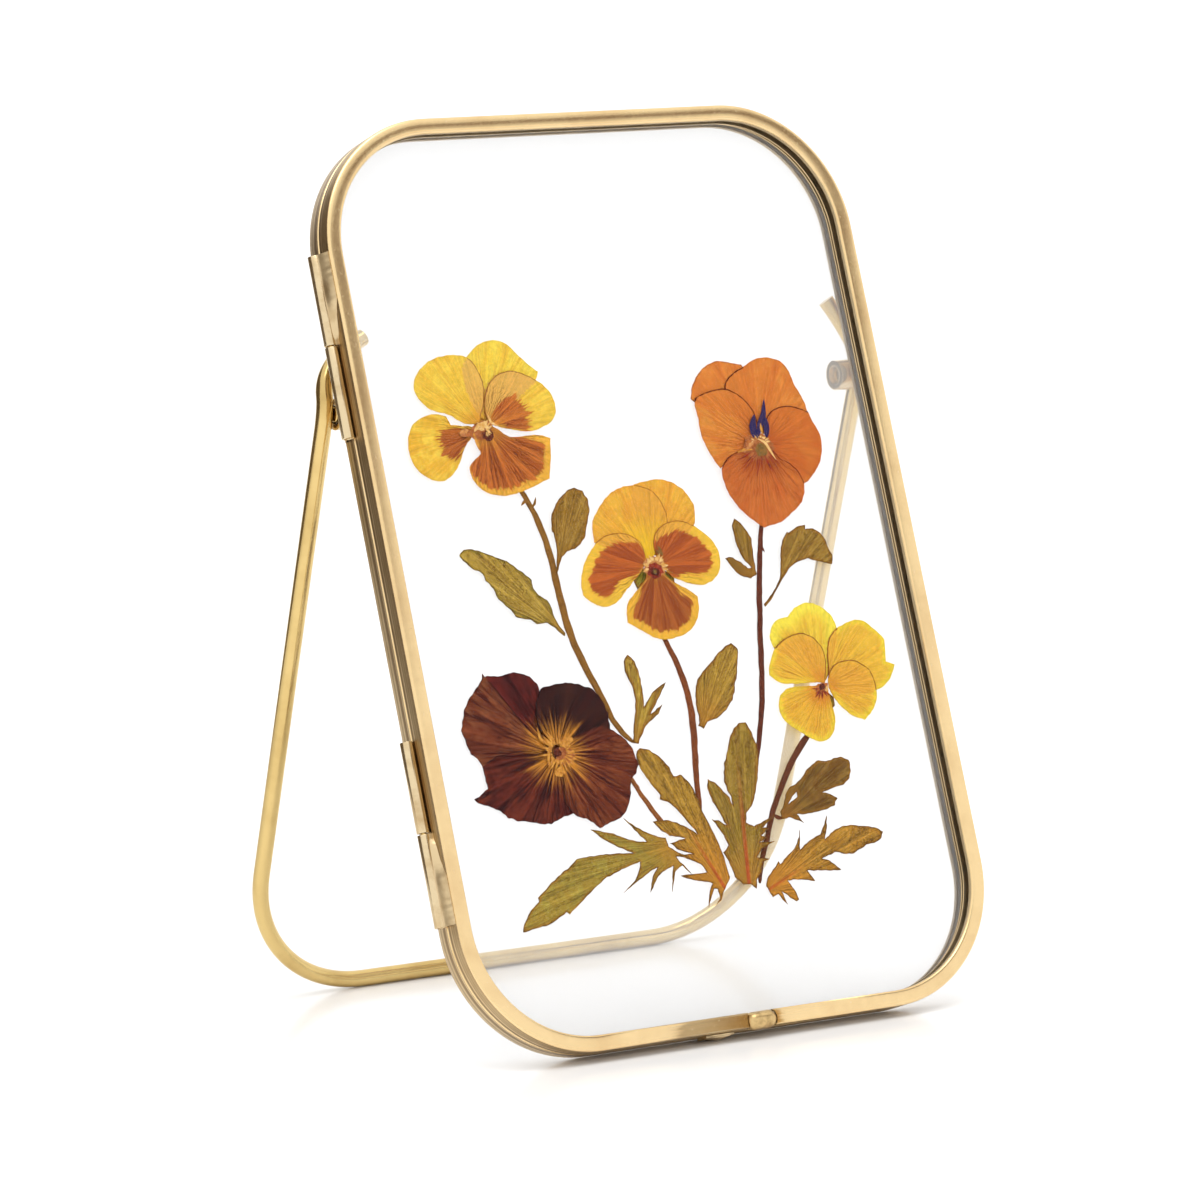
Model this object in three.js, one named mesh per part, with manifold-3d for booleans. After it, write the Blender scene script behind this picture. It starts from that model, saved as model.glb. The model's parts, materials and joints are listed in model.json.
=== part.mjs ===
// A pressed flower frame: five violas with their stems and leaves, pressed flat between two panes of glass.
// Each pane sits in a rounded brass ring. The two rings are hinged together on the left, caught at the bottom,
// and lean on a U-shaped brass wire stand that folds flat behind them.
//
// The frame is drawn upright in its own axes: x to the right, y up from the bottom edge, and z out of the front
// face. A group then leans it back on its stand. World axes are +Z up with the front facing -Y.
import * as THREE from "three";
import { mergeVertices } from "three/addons/utils/BufferGeometryUtils.js";
import Module from "manifold-3d";

const wasm = await Module();
wasm.setup();

// ---------------------------------------------------------------- driving dimensions, millimetres and degrees
const FRAME_WIDTH = 116.5;
const FRAME_HEIGHT = 178;
const CORNER_RADIUS = 25.6;
const FRAME_DEPTH = 7.8;
const LEAN_BACK = 18.91; // of the frame from upright
const STAND_OPEN = 37.3; // between the stand's legs and the frame

const FRONT_LIP = 3; // width of the face that shows in front
const BACK_LIP = 2.6;
const WALL = 1;
const LIP_THICK = 1.2;
const EDGE = 0.4; // rounding of a ring's outer edges
const PARTING_GAP = 0.14; // groove between the two rings
const CORNER_STEPS = 8;

const GLASS_THICK = 1.8;
const GLASS_CLEARANCE = 0.15;

const FIRST_LAYER = -3.25; // pressed pieces lie in layers between the panes
const LAYER_PITCH = 0.24;
const PETAL_THICK = 0.1;
const LEAF_THICK = 0.12;
const STEM_THICK = 0.36;
const STEM_LAYER = 3.5;
const SMOOTH_STEP = 1.85; // length of one straight piece along a smooth outline

const KNUCKLE_RADIUS = 1.2;
const KNUCKLE_BORE = 0.75;
const HINGE_PIN_RADIUS = 0.55;
const KNUCKLE_GAP = 0.3;
const UPPER_HINGE = { top: 153.6, middle: 136.1, bottom: 118.4 };
const LOWER_HINGE = { top: 61.4, middle: 44.1, bottom: 26.5 };

const WIRE_RADIUS = 1.65;
const STAND_HALF_WIDTH = 59.6; // from the middle to a leg's axis
const STAND_LEG = 121.65; // from the pivot to the foot's axis
const STAND_CORNER = 26;
const STAND_STEPS = 64;
const PIVOT = { y: 124.9, z: -10.8 };
const ELBOW = 4; // where a leg starts to bend, below the pivot
const WIRE_REST = -9.6; // depth of the bent ends, which stop against the frame's back
const WIRE_ENDS = {
  left: { bend: [-59.2, 134.4], tip: [-49.5, 138.8] },
  right: { bend: [59.7, 131.5], tip: [54.9, 139.8] },
};
const BARREL_RADIUS = 3;
const BARREL_BORE = 1.75;
const BARREL = { inner: 54.1, outer: 57.7 };
const STAND_PIN_RADIUS = 1.45;

const CATCH_BEAD = { x: 2.1, y: 1.35, z: -0.9, length: 6.4, radius: 1.8, endRadius: 1.45 };
const CATCH_TAB = { x: -6.9, length: 6.1, drop: 1.1, front: -1.3, back: -4.7 };

const half = FRAME_WIDTH / 2;
const parting = -FRAME_DEPTH / 2;
const touch = 0.05; // clearance between pieces that touch
const radians = THREE.MathUtils.degToRad;

// ---------------------------------------------------------------- materials
const brass = (color, roughness) => new THREE.MeshStandardMaterial({ color, roughness, metalness: 1 });
const dried = (color) => new THREE.MeshStandardMaterial({ color, roughness: 0.8, metalness: 0 });
const clear = () =>
  new THREE.MeshStandardMaterial({ color: 0xf4f8f6, roughness: 0.02, transparent: true, opacity: 0.2 });
const RING_BRASS = 0xdcb67c;
const WIRE_BRASS = 0xc4a35e;

// ---------------------------------------------------------------- solids and meshes
function toSolid(geometry) {
  const bare = geometry.clone();
  bare.deleteAttribute("normal");
  bare.deleteAttribute("uv");
  const merged = mergeVertices(bare, 1e-4);
  return new wasm.Manifold(
    new wasm.Mesh({
      numProp: 3,
      vertProperties: new Float32Array(merged.attributes.position.array),
      triVerts: new Uint32Array(merged.index.array),
    }),
  );
}

function toGeometry(solid) {
  const mesh = solid.getMesh();
  return new THREE.BufferGeometry()
    .setAttribute("position", new THREE.BufferAttribute(mesh.vertProperties, 3))
    .setIndex(new THREE.BufferAttribute(mesh.triVerts, 1));
}

function named(name, geometry, material) {
  const mesh = new THREE.Mesh(geometry, material);
  mesh.name = name;
  return mesh;
}

// A profile of [radius, height] points turned about the y axis.
function lathe(profile, sides) {
  return new THREE.LatheGeometry(
    profile.map(([radius, height]) => new THREE.Vector2(radius, height)),
    sides,
  );
}

function tube(outer, inner, length, sides) {
  const end = length / 2;
  return lathe([[inner, -end], [outer, -end], [outer, end], [inner, end], [inner, -end]], sides);
}

function rod(radius, length, sides) {
  return new THREE.CylinderGeometry(radius, radius, length, sides);
}

// ---------------------------------------------------------------- brass rings and panes
// The frame's outline drawn in by an inset, counter-clockwise seen from the front.
function frameOutline(inset) {
  const radius = CORNER_RADIUS - inset;
  const x = half - CORNER_RADIUS;
  const low = CORNER_RADIUS;
  const high = FRAME_HEIGHT - CORNER_RADIUS;
  const corners = [
    [x, high, 0],
    [-x, high, 90],
    [-x, low, 180],
    [x, low, 270],
  ];
  return corners.flatMap(([cx, cy, start]) =>
    Array.from({ length: CORNER_STEPS + 1 }, (_, i) => {
      const angle = radians(start + (90 * i) / CORNER_STEPS);
      return new THREE.Vector2(cx + radius * Math.cos(angle), cy + radius * Math.sin(angle));
    }),
  );
}

// A ring whose section, a list of [inset, z] points, is carried round the frame's outline.
function ring(section) {
  const loops = section.map(([inset, z]) => frameOutline(inset).map((p) => [p.x, p.y, z]));
  const around = loops[0].length;
  const index = [];
  for (let j = 0; j < section.length; j++) {
    const next = (j + 1) % section.length;
    for (let i = 0; i < around; i++) {
      const ahead = (i + 1) % around;
      const a = j * around + i;
      const b = j * around + ahead;
      const c = next * around + ahead;
      const d = next * around + i;
      index.push(a, b, c, a, c, d);
    }
  }
  return new THREE.BufferGeometry()
    .setAttribute("position", new THREE.Float32BufferAttribute(loops.flat(2), 3))
    .setIndex(index);
}

// The front ring has a pocket cut through its bottom bar for the catch's bead.
function frontRing() {
  const foot = parting + PARTING_GAP / 2;
  const section = [
    [EDGE / 2, foot],
    [0, foot + EDGE / 2],
    [0, -EDGE],
    [EDGE, 0],
    [FRONT_LIP - EDGE, 0],
    [FRONT_LIP, -EDGE],
    [FRONT_LIP, -LIP_THICK],
    [WALL, -LIP_THICK],
    [WALL, foot],
  ];
  const pocket = rod(CATCH_BEAD.radius + 0.15, CATCH_BEAD.length + 0.4, 16);
  pocket.rotateZ(Math.PI / 2);
  pocket.translate(CATCH_BEAD.x, CATCH_BEAD.y, CATCH_BEAD.z);
  return toGeometry(toSolid(ring(section)).subtract(toSolid(pocket)));
}

function backRing() {
  const top = parting - PARTING_GAP / 2;
  const back = -FRAME_DEPTH;
  return ring([
    [WALL, top],
    [WALL, back + LIP_THICK],
    [BACK_LIP, back + LIP_THICK],
    [BACK_LIP, back + EDGE],
    [BACK_LIP - EDGE, back],
    [EDGE, back],
    [0, back + EDGE],
    [0, top - EDGE / 2],
    [EDGE / 2, top],
  ]);
}

function pane() {
  const shape = new THREE.Shape(frameOutline(WALL + GLASS_CLEARANCE));
  return new THREE.ExtrudeGeometry(shape, { depth: GLASS_THICK, bevelEnabled: false });
}

// ---------------------------------------------------------------- hinges on the left edge
const hingeX = -half - KNUCKLE_RADIUS - touch;

// A knuckle is a tube with a long bead of solder to its own ring, which is in front of or behind the parting.
function knuckle(length, isFront) {
  const section = new THREE.Shape();
  section.moveTo(-0.3, 0.9);
  section.lineTo(0.1, 0.3);
  section.lineTo(KNUCKLE_RADIUS, 0.3);
  section.lineTo(KNUCKLE_RADIUS, 3);
  section.quadraticCurveTo(0.5, 1.4, -0.3, 0.9);
  const solderLength = length * 0.94;
  const solder = new THREE.ExtrudeGeometry(section, {
    depth: solderLength,
    bevelEnabled: false,
    curveSegments: 4,
  });
  solder.translate(0, 0, -solderLength / 2);
  solder.rotateX(isFront ? Math.PI / 2 : -Math.PI / 2);
  const barrel = toSolid(tube(KNUCKLE_RADIUS, KNUCKLE_BORE, length, 14));
  const bore = toSolid(rod(KNUCKLE_BORE + touch, length, 14));
  return toGeometry(barrel.add(toSolid(solder).subtract(bore)));
}

function hinge(label, { top, middle, bottom }, upperIsFront) {
  const pieces = [
    [upperIsFront, middle + KNUCKLE_GAP / 2, top],
    [!upperIsFront, bottom, middle - KNUCKLE_GAP / 2],
  ].map(([isFront, low, high]) => {
    const name = "hinge_knuckle_" + label + (isFront ? "_front" : "_back");
    const mesh = named(name, knuckle(high - low, isFront), brass(RING_BRASS, 0.35));
    mesh.position.set(hingeX, (low + high) / 2, parting);
    return mesh;
  });
  const pin = named("hinge_pin_" + label, rod(HINGE_PIN_RADIUS, top - bottom - 0.4, 12), brass(WIRE_BRASS, 0.4));
  pin.position.set(hingeX, (top + bottom) / 2, parting);
  return [...pieces, pin];
}

// ---------------------------------------------------------------- catch at the bottom
// A short pillow-shaped bead let into the front bar, notched at the back to clear the pane.
function catchBead() {
  const { length, radius, endRadius } = CATCH_BEAD;
  const end = length / 2;
  const profile = [
    [0, -end],
    [endRadius * 0.8, -end],
    [endRadius, -end * 0.88],
    [radius, -end * 0.4],
    [radius, end * 0.4],
    [endRadius, end * 0.88],
    [endRadius * 0.8, end],
    [0, end],
  ];
  const pillow = lathe(profile, 14);
  pillow.rotateZ(Math.PI / 2);
  const notch = new THREE.BoxGeometry(length + 1, 2 * radius, 2 * radius);
  notch.translate(0, WALL - CATCH_BEAD.y + radius, -LIP_THICK - CATCH_BEAD.z + touch - radius);
  return toGeometry(toSolid(pillow).subtract(toSolid(notch)));
}

// A spring tab soldered under the back ring, which hooks under the front one.
function catchTab() {
  const { length, drop, front, back } = CATCH_TAB;
  const section = new THREE.Shape();
  section.moveTo(back, -touch);
  section.lineTo(back, -drop * 0.7);
  section.lineTo(back + 0.6, -drop);
  section.lineTo(front - 0.9, -drop);
  section.lineTo(front, -drop * 0.5);
  section.lineTo(front, -touch);
  const geometry = new THREE.ExtrudeGeometry(section, { depth: length, bevelEnabled: false });
  geometry.translate(0, 0, -length / 2);
  geometry.rotateY(-Math.PI / 2); // section in z and y, length along x
  return geometry;
}

// ---------------------------------------------------------------- wire stand
// Turns a point that lies against the frame's back into the open stand's axes, where legs hang along -y.
function intoStand([x, y]) {
  const point = new THREE.Vector3(x, y - PIVOT.y, WIRE_REST - PIVOT.z);
  return point.applyAxisAngle(new THREE.Vector3(1, 0, 0), -radians(STAND_OPEN));
}

function standWire() {
  const path = new THREE.CurvePath();
  const side = STAND_HALF_WIDTH;
  const foot = -STAND_LEG;
  const kappa = STAND_CORNER * (1 - 0.5523); // handle of a cubic curve that draws a quarter circle
  const v = (x, y) => new THREE.Vector3(x, y, 0);
  const { left, right } = WIRE_ENDS;
  const leftElbow = intoStand([-side, PIVOT.y + 3]);
  const rightElbow = intoStand([side, PIVOT.y + 3]);
  path.add(new THREE.QuadraticBezierCurve3(intoStand(left.tip), intoStand(left.bend), leftElbow));
  path.add(new THREE.QuadraticBezierCurve3(leftElbow, v(-side, 1), v(-side, -ELBOW)));
  path.add(new THREE.LineCurve3(v(-side, -ELBOW), v(-side, foot + STAND_CORNER)));
  path.add(
    new THREE.CubicBezierCurve3(
      v(-side, foot + STAND_CORNER),
      v(-side, foot + kappa),
      v(-side + kappa, foot),
      v(-side + STAND_CORNER, foot),
    ),
  );
  path.add(new THREE.LineCurve3(v(-side + STAND_CORNER, foot), v(side - STAND_CORNER, foot)));
  path.add(
    new THREE.CubicBezierCurve3(
      v(side - STAND_CORNER, foot),
      v(side - kappa, foot),
      v(side, foot + kappa),
      v(side, foot + STAND_CORNER),
    ),
  );
  path.add(new THREE.LineCurve3(v(side, foot + STAND_CORNER), v(side, -ELBOW)));
  path.add(new THREE.QuadraticBezierCurve3(v(side, -ELBOW), v(side, 1), rightElbow));
  path.add(new THREE.QuadraticBezierCurve3(rightElbow, intoStand(right.bend), intoStand(right.tip)));
  const circle = new THREE.Shape();
  circle.absarc(0, 0, WIRE_RADIUS, 0, 2 * Math.PI);
  return new THREE.ExtrudeGeometry(circle, {
    steps: STAND_STEPS,
    curveSegments: 8,
    extrudePath: path,
    bevelEnabled: false,
  });
}

// ---------------------------------------------------------------- pressed plants
// An outline is a closed list of [x, y] points in the frame's plane. The edge is a smooth curve through them,
// and a third entry, 1, marks a sharp corner, where the curve breaks.
function smoothStretch(points) {
  if (points.length === 2) return [points[0]];
  const curve = new THREE.CatmullRomCurve3(
    points.map(([x, y]) => new THREE.Vector3(x, y, 0)),
    false,
    "centripetal",
  );
  const steps = Math.max(points.length - 1, Math.round(curve.getLength() / SMOOTH_STEP));
  return curve
    .getSpacedPoints(steps)
    .slice(0, -1)
    .map((p) => [p.x, p.y]);
}

function closedOutline(points) {
  const first = Math.max(0, points.findIndex((p) => p[2]));
  const turned = [...points.slice(first), ...points.slice(0, first + 1)];
  const outline = [];
  let stretch = [turned[0]];
  for (const point of turned.slice(1)) {
    stretch.push(point);
    if (point[2] || point === turned[turned.length - 1]) {
      outline.push(...smoothStretch(stretch));
      stretch = [point];
    }
  }
  return outline.map(([x, y]) => new THREE.Vector2(x, y));
}

function plate(points, thick, holes = []) {
  const shape = new THREE.Shape(closedOutline(points));
  shape.holes = holes.map((hole) => new THREE.Path(closedOutline(hole))); // turned against their outline
  return new THREE.ExtrudeGeometry(shape, { depth: thick, bevelEnabled: false });
}

// A stem is a flattened stalk along a centre line of [x, y, width] points, with its front and back edges cut off.
function stem(line) {
  const curve = new THREE.CatmullRomCurve3(line.map(([x, y, w]) => new THREE.Vector3(x, y, w)));
  const steps = Math.round(curve.getLength() / 3);
  const rows = curve.getSpacedPoints(steps).map((p, i) => {
    const along = curve.getTangentAt(i / steps).setZ(0).normalize();
    const across = new THREE.Vector3(-along.y, along.x, 0).multiplyScalar(p.z / 2);
    const depth = STEM_THICK / 2;
    const section = [[1, 0], [0.6, depth], [-0.6, depth], [-1, 0], [-0.6, -depth], [0.6, -depth]];
    return section.map(([s, z]) => [p.x + s * across.x, p.y + s * across.y, z]);
  });
  const sides = rows[0].length;
  const index = [];
  for (let j = 0; j < rows.length - 1; j++)
    for (let i = 0; i < sides; i++) {
      const a = j * sides + i;
      const b = j * sides + ((i + 1) % sides);
      index.push(a, b, b + sides, a, b + sides, a + sides);
    }
  const last = (rows.length - 1) * sides;
  for (let i = 1; i < sides - 1; i++) {
    index.push(0, i + 1, i);
    index.push(last, last + i, last + i + 1);
  }
  return new THREE.BufferGeometry()
    .setAttribute("position", new THREE.Float32BufferAttribute(rows.flat(2), 3))
    .setIndex(index);
}

// Each flower's petals: [name, layer, colour, outline]. Layer 0 is the nearest to the front pane.
const YELLOW_VIOLA = [
  ["upper_left", 3, 0xe9be45, [
    [-31.5, 119.6], [-33.8, 119.4], [-35.3, 120], [-37.6, 121.8], [-41, 122.7], [-42.8, 124.2], [-44, 127],
    [-43.3, 129], [-40.5, 131.7], [-36.3, 133], [-32.6, 132.7], [-31, 132.3], [-29.6, 130], [-28.9, 127.3],
    [-29.5, 123.5],
  ]],
  ["upper_right", 4, 0xeac340, [
    [-30.6, 120.2], [-32.3, 124], [-33, 128], [-32.6, 131], [-31.2, 132.5, 1], [-30.2, 133.2], [-29.4, 134.2],
    [-25.5, 135.4], [-23.4, 135.1], [-21.9, 134.3], [-20.4, 132.3], [-18.8, 130.6], [-16.5, 128.6, 1],
    [-17.2, 126.9, 1], [-20, 125], [-24, 122.5], [-28, 120.5],
  ]],
  ["side_left", 2, 0xe3a63a, [
    [-32.3, 118.6], [-34.5, 119.3], [-36.5, 119.3], [-38.1, 119.9], [-38.3, 121.2], [-40.3, 122], [-43.6, 121.4],
    [-45.9, 120.1], [-47.4, 117], [-47.4, 113.4], [-46, 110.9], [-42.6, 109], [-40.4, 109.3], [-38.6, 110.6],
    [-37, 112.6], [-35.6, 115.3], [-33.5, 117],
  ]],
  ["side_right", 2, 0xe2a84a, [
    [-29.6, 119.6], [-29.9, 121.5], [-29.4, 124.2], [-28, 126.8], [-25.5, 128.7], [-22.4, 129.1], [-19, 127.8],
    [-16, 125.7], [-14.6, 123.5], [-14.5, 120.4], [-16, 118.6], [-19.2, 117.4], [-21.5, 117.1], [-24.5, 117.8],
    [-27.5, 118.4],
  ]],
  ["lower", 1, 0xd9973a, [
    [-31.3, 118.8], [-33, 117, 1], [-32.5, 114.6], [-32.6, 113.6, 1], [-35.2, 111.8], [-35.8, 110.2],
    [-35, 108], [-32.8, 106], [-28.6, 105.2], [-24, 106.1], [-18.9, 107.8, 1], [-18, 110.8], [-17, 115.5, 1],
    [-18.2, 116], [-21, 116.4], [-24.5, 116.2], [-26.5, 116.5], [-28, 118.2], [-29.4, 119.1],
  ]],
];
const ORANGE_VIOLA = [
  ["upper_left", 4, 0xd87c34, [
    [29, 115], [24, 117], [19, 119.3], [16.2, 120.5], [16.6, 123.1], [18.4, 125.5], [21, 127.4], [23.9, 128.2],
    [25.7, 127.8], [27.5, 127.2], [29.2, 126.9], [30.5, 123], [30.3, 118],
  ]],
  ["upper_right", 3, 0xd47231, [
    [28.2, 114.6], [25, 118.5], [23.8, 122.5], [23.9, 123.4], [26.2, 125.3], [29.8, 126.8], [32.4, 128],
    [35.6, 128], [38.1, 127, 1], [39, 125.8], [40.3, 121.3], [41.6, 118.6], [41.7, 116.6], [38, 113.6],
    [33, 112.3],
  ]],
  ["side_left", 2, 0xcd7732, [
    [29, 112.2], [26, 110.2], [23.1, 109.5], [21, 108.1], [19.3, 106.9, 1], [17.8, 109.5], [16.5, 113.4],
    [16.4, 115.3], [16.6, 117], [16.2, 119.5], [16.7, 121], [20.9, 122.3], [23.8, 122.5, 1], [26.2, 121.4],
    [28.2, 119.5], [29.6, 116.6],
  ]],
  ["side_right", 2, 0xca6a2e, [
    [31, 112], [31.4, 115.4], [32.4, 116.7, 1], [34.5, 117.9], [38.4, 118], [41.7, 116.6, 1], [42, 115],
    [43.3, 112.6], [43.4, 109.8], [42, 106.2, 1], [40.3, 104.5], [37.6, 102.4], [35.5, 102.8], [32.5, 106.5],
    [31, 109.6],
  ]],
  ["lower", 1, 0xc96a2f, [
    [29.6, 111.4], [27.3, 110.6], [25.4, 109.7], [23.1, 109.8], [20.6, 108.4], [19.3, 106.9], [19.2, 105.3],
    [19.9, 101.7], [22, 98.3], [25.3, 95.3], [26.4, 94.6, 1], [27.3, 95.1], [30.1, 95.1], [32.6, 96.8],
    [34.2, 97.4], [36.4, 99.6], [37.4, 102.1], [37.1, 104], [35.3, 106.6], [32.8, 107.9], [31.4, 110],
  ]],
];
const BICOLOUR_VIOLA = [
  ["upper_left", 3, 0xe0a23c, [
    [0, 90.8], [-4, 91.2], [-9, 93.4], [-11.6, 94.9, 1], [-11.6, 96.8], [-11.1, 99.1], [-9.2, 101.5],
    [-5.8, 104.2], [-2.6, 105.2], [0.6, 105.1], [3.4, 103.7], [4.9, 101.3], [5.4, 98], [3.6, 93.6],
  ]],
  ["upper_right", 4, 0xdf9d3c, [
    [1.2, 91.2], [-1, 94], [-2, 99], [-1.6, 103], [-0.3, 105.4, 1], [2.6, 105.9], [6, 106], [8.4, 105],
    [10.8, 103], [12.1, 99.6], [11.1, 96.2, 1], [7, 93.4],
  ]],
  ["side_left", 2, 0xc9742f, [
    [-1.3, 90.2], [-2.6, 88.7], [-3.9, 87.6], [-6.8, 85.3], [-9.4, 83], [-12.2, 82.3], [-15, 83.6],
    [-16.6, 85.4], [-16.2, 88], [-14.9, 91], [-12, 94.3], [-9.5, 95.9], [-6, 96.3], [-3.2, 95.5],
    [-1.4, 93.6],
  ]],
  ["side_right", 2, 0xc8702e, [
    [1.7, 89.8], [2.6, 88.2], [3.4, 87.1], [6.8, 85.5], [9.7, 84.7], [12.4, 85.3], [14.6, 87.2], [15.2, 90],
    [14.4, 93], [12.2, 95.1], [9.5, 97.1], [6.6, 97.7], [3.4, 96.9], [1.4, 95], [1, 92.2],
  ]],
  ["lower", 1, 0xc8762f, [
    [0, 89.8], [-1.5, 89.3], [-1.9, 87.4], [-5.3, 84.5], [-7.5, 82.5], [-8.1, 80.2], [-8.1, 79, 1],
    [-5.3, 77.2], [-1.8, 75.1], [2.4, 75.3], [4.5, 75.8], [7.1, 77.9], [8.3, 81], [8.3, 82.7, 1],
    [7.1, 83.7], [4.2, 85.5], [2, 87.4], [1.5, 89.3],
  ]],
];
const MAROON_VIOLA = [
  ["upper_left", 3, 0x6e2f22, [
    [-30, 57.2], [-36, 56], [-41, 54.6], [-44.7, 54.6, 1], [-45, 56], [-45.7, 57.1], [-46.6, 57.5, 1],
    [-47.3, 60.4], [-47.7, 62.4, 1], [-46.3, 65.7], [-45, 67.7], [-43.3, 69.3], [-41.8, 70.7],
    [-40.8, 72.3, 1], [-40, 71], [-37.9, 67.9], [-34.6, 62.7], [-32.6, 60],
  ]],
  ["upper_middle", 4, 0x4d1614, [
    [-31.5, 58.5], [-34, 60], [-37, 64], [-40.3, 69.6], [-40.2, 71.8, 1], [-38.2, 71.6], [-36.3, 71.7],
    [-33.9, 72.1], [-31.8, 71.3], [-30.3, 70.4], [-29.2, 68.4], [-30, 64.5], [-30.6, 60.5],
  ]],
  ["upper_right", 2, 0x421613, [
    [-28.6, 57.6], [-31.2, 60.4], [-31.6, 63.5], [-31, 65.4], [-29.6, 68.4, 1], [-26, 68.9], [-23, 68.9],
    [-19.9, 67.9], [-17.8, 66.7], [-16.4, 63.8], [-16.3, 59.4], [-20, 57.5], [-25, 56.4],
  ]],
  ["lower_right", 1, 0x6a2a1c, [
    [-28.7, 54.5], [-28, 57.2], [-25, 58.6], [-21, 59.8], [-18, 60.3], [-16.3, 59.3], [-14.6, 58.1],
    [-12.9, 56], [-11.9, 53.3], [-12, 51.3], [-12.8, 50.2, 1], [-13.8, 50.2], [-14.6, 46.8], [-15.6, 44.7],
    [-17.1, 42.9], [-20, 41.9], [-22.8, 41.2, 1], [-23.3, 42.1], [-27.9, 44.3], [-29, 46.5], [-28.6, 50.5],
  ]],
  ["lower_left", 2, 0x541a15, [
    [-29.4, 55.2], [-34, 57], [-39, 57], [-43, 56.2], [-44.8, 54.9], [-44.4, 51, 1], [-46, 50],
    [-47.8, 49.3, 1], [-46.8, 48.2], [-45, 47.6], [-43, 46.9], [-41.3, 44.9], [-38, 44], [-35.4, 43.5],
    [-33.5, 42.8], [-31.6, 43.4], [-30, 44], [-27.9, 44.2], [-27.3, 47], [-28.6, 52],
  ]],
];
const GOLDEN_VIOLA = [
  ["upper", 4, 0xf0cf3c, [
    [33.2, 63.8], [30, 66.5], [25.5, 69.5], [23.4, 71.3], [22.9, 72.8], [24, 75.7], [26, 76.9],
    [27.9, 77, 1], [29.6, 78.5], [32.4, 79.5], [35, 78.9], [37.4, 77.1], [38.6, 74.2], [37, 70], [35.3, 66],
  ]],
  ["side_left", 2, 0xe2a53a, [
    [33, 63.5], [31.5, 63.7], [27.5, 63.9], [23.6, 64.2], [21.3, 65.6], [20.8, 67.2], [22.4, 69.6],
    [23.2, 71.2], [25.4, 72.5], [28.5, 73.6], [31, 73.4], [33, 72], [34.3, 69.6], [34.1, 66.4],
  ]],
  ["upper_right", 3, 0xe8b740, [
    [34.2, 62.8], [34.6, 66], [35.5, 70.8], [37.2, 73.2], [40.5, 74.6], [44, 75.1], [45.6, 74.2],
    [47, 72.5], [48, 71.8], [48.8, 70.6, 1], [48.5, 68.4], [48, 66.3, 1], [49.9, 65.6, 1], [48.6, 63.3],
    [46.8, 61.8], [44.4, 60.8], [40, 60.3], [36, 61],
  ]],
  ["lower_right", 2, 0xe3a638, [
    [33.6, 63], [34.9, 66.2], [37.8, 67.3], [41, 67.2], [44, 64.9, 1], [44.5, 62.5], [44.3, 59.8],
    [42.6, 57], [40.4, 55.5, 1], [37.3, 56.8], [35, 59.5], [33.9, 61.2],
  ]],
  ["lower", 1, 0xe2a436, [
    [33.2, 62.7], [31.3, 63.1], [27.5, 63.2], [24.4, 63.3], [22.5, 62.3], [21.3, 59.4], [22.2, 57],
    [25.3, 54.5], [28.2, 52.5], [30.5, 52.2], [32.8, 53.9], [33.7, 56.6], [33.4, 59.6],
  ]],
];
const SEPALS = {
  bicolour_viola: [
    [-4, 88.3], [-4.4, 87], [-3.9, 85.3, 1], [-2.5, 86.3], [-0.5, 86.6], [2.2, 86.6], [3.4, 85.8],
    [4.3, 85.1, 1], [4.7, 86.6], [3.4, 88], [1.5, 89.2], [-2, 89.2],
  ],
  golden_viola: [[32.5, 62], [34.6, 61], [35, 60], [34.7, 59, 1], [33.6, 58.1, 1], [32.9, 59.6]],
};

// Stalks: centre line points with the stalk's width at each.
const STEMS = {
  yellow_viola: [
    [-25.6, 107.4, 0.9], [-24.2, 104, 1], [-22.6, 99.6, 1.2], [-21.6, 93.7, 1.3], [-21.2, 85.3, 1.5],
    [-20.5, 78, 1.5], [-18.6, 71.2, 1.4], [-15.9, 64.3, 1.2], [-15.2, 61.3, 1.1], [-12.5, 57.2, 1],
    [-11.6, 56.4, 0.6],
  ],
  orange_viola: [
    [26.4, 96, 0.8], [24.9, 91, 1], [23, 83.5, 1.15], [21, 74.1, 1.15], [19.1, 64.1, 1.1], [16.5, 55.2, 1],
    [13.6, 48, 0.9], [11.3, 43, 0.9], [10.3, 41, 0.6],
  ],
  bicolour_viola: [
    [-0.7, 76.3, 1], [0.6, 72.7, 1.1], [2, 67.5, 1.3], [2.4, 61, 1.45], [1.6, 54.1, 1.35], [0.5, 47.5, 1.1],
    [0.1, 42, 0.7],
  ],
  maroon_viola: [[-14, 51.2, 0.7], [-12.8, 47.9, 0.8], [-11.6, 45.7, 0.85], [-9.3, 41.6, 1.1], [-8.5, 40.4, 1]],
  golden_viola: [
    [27.4, 54, 1.2], [24.5, 51.5, 1.3], [21.1, 47.6, 1.2], [17.9, 43.1, 1.1], [15.3, 39.2, 1.1],
    [13.6, 35.2, 1], [11.6, 31.8, 0.9], [9.9, 27, 0.7],
  ],
};

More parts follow.
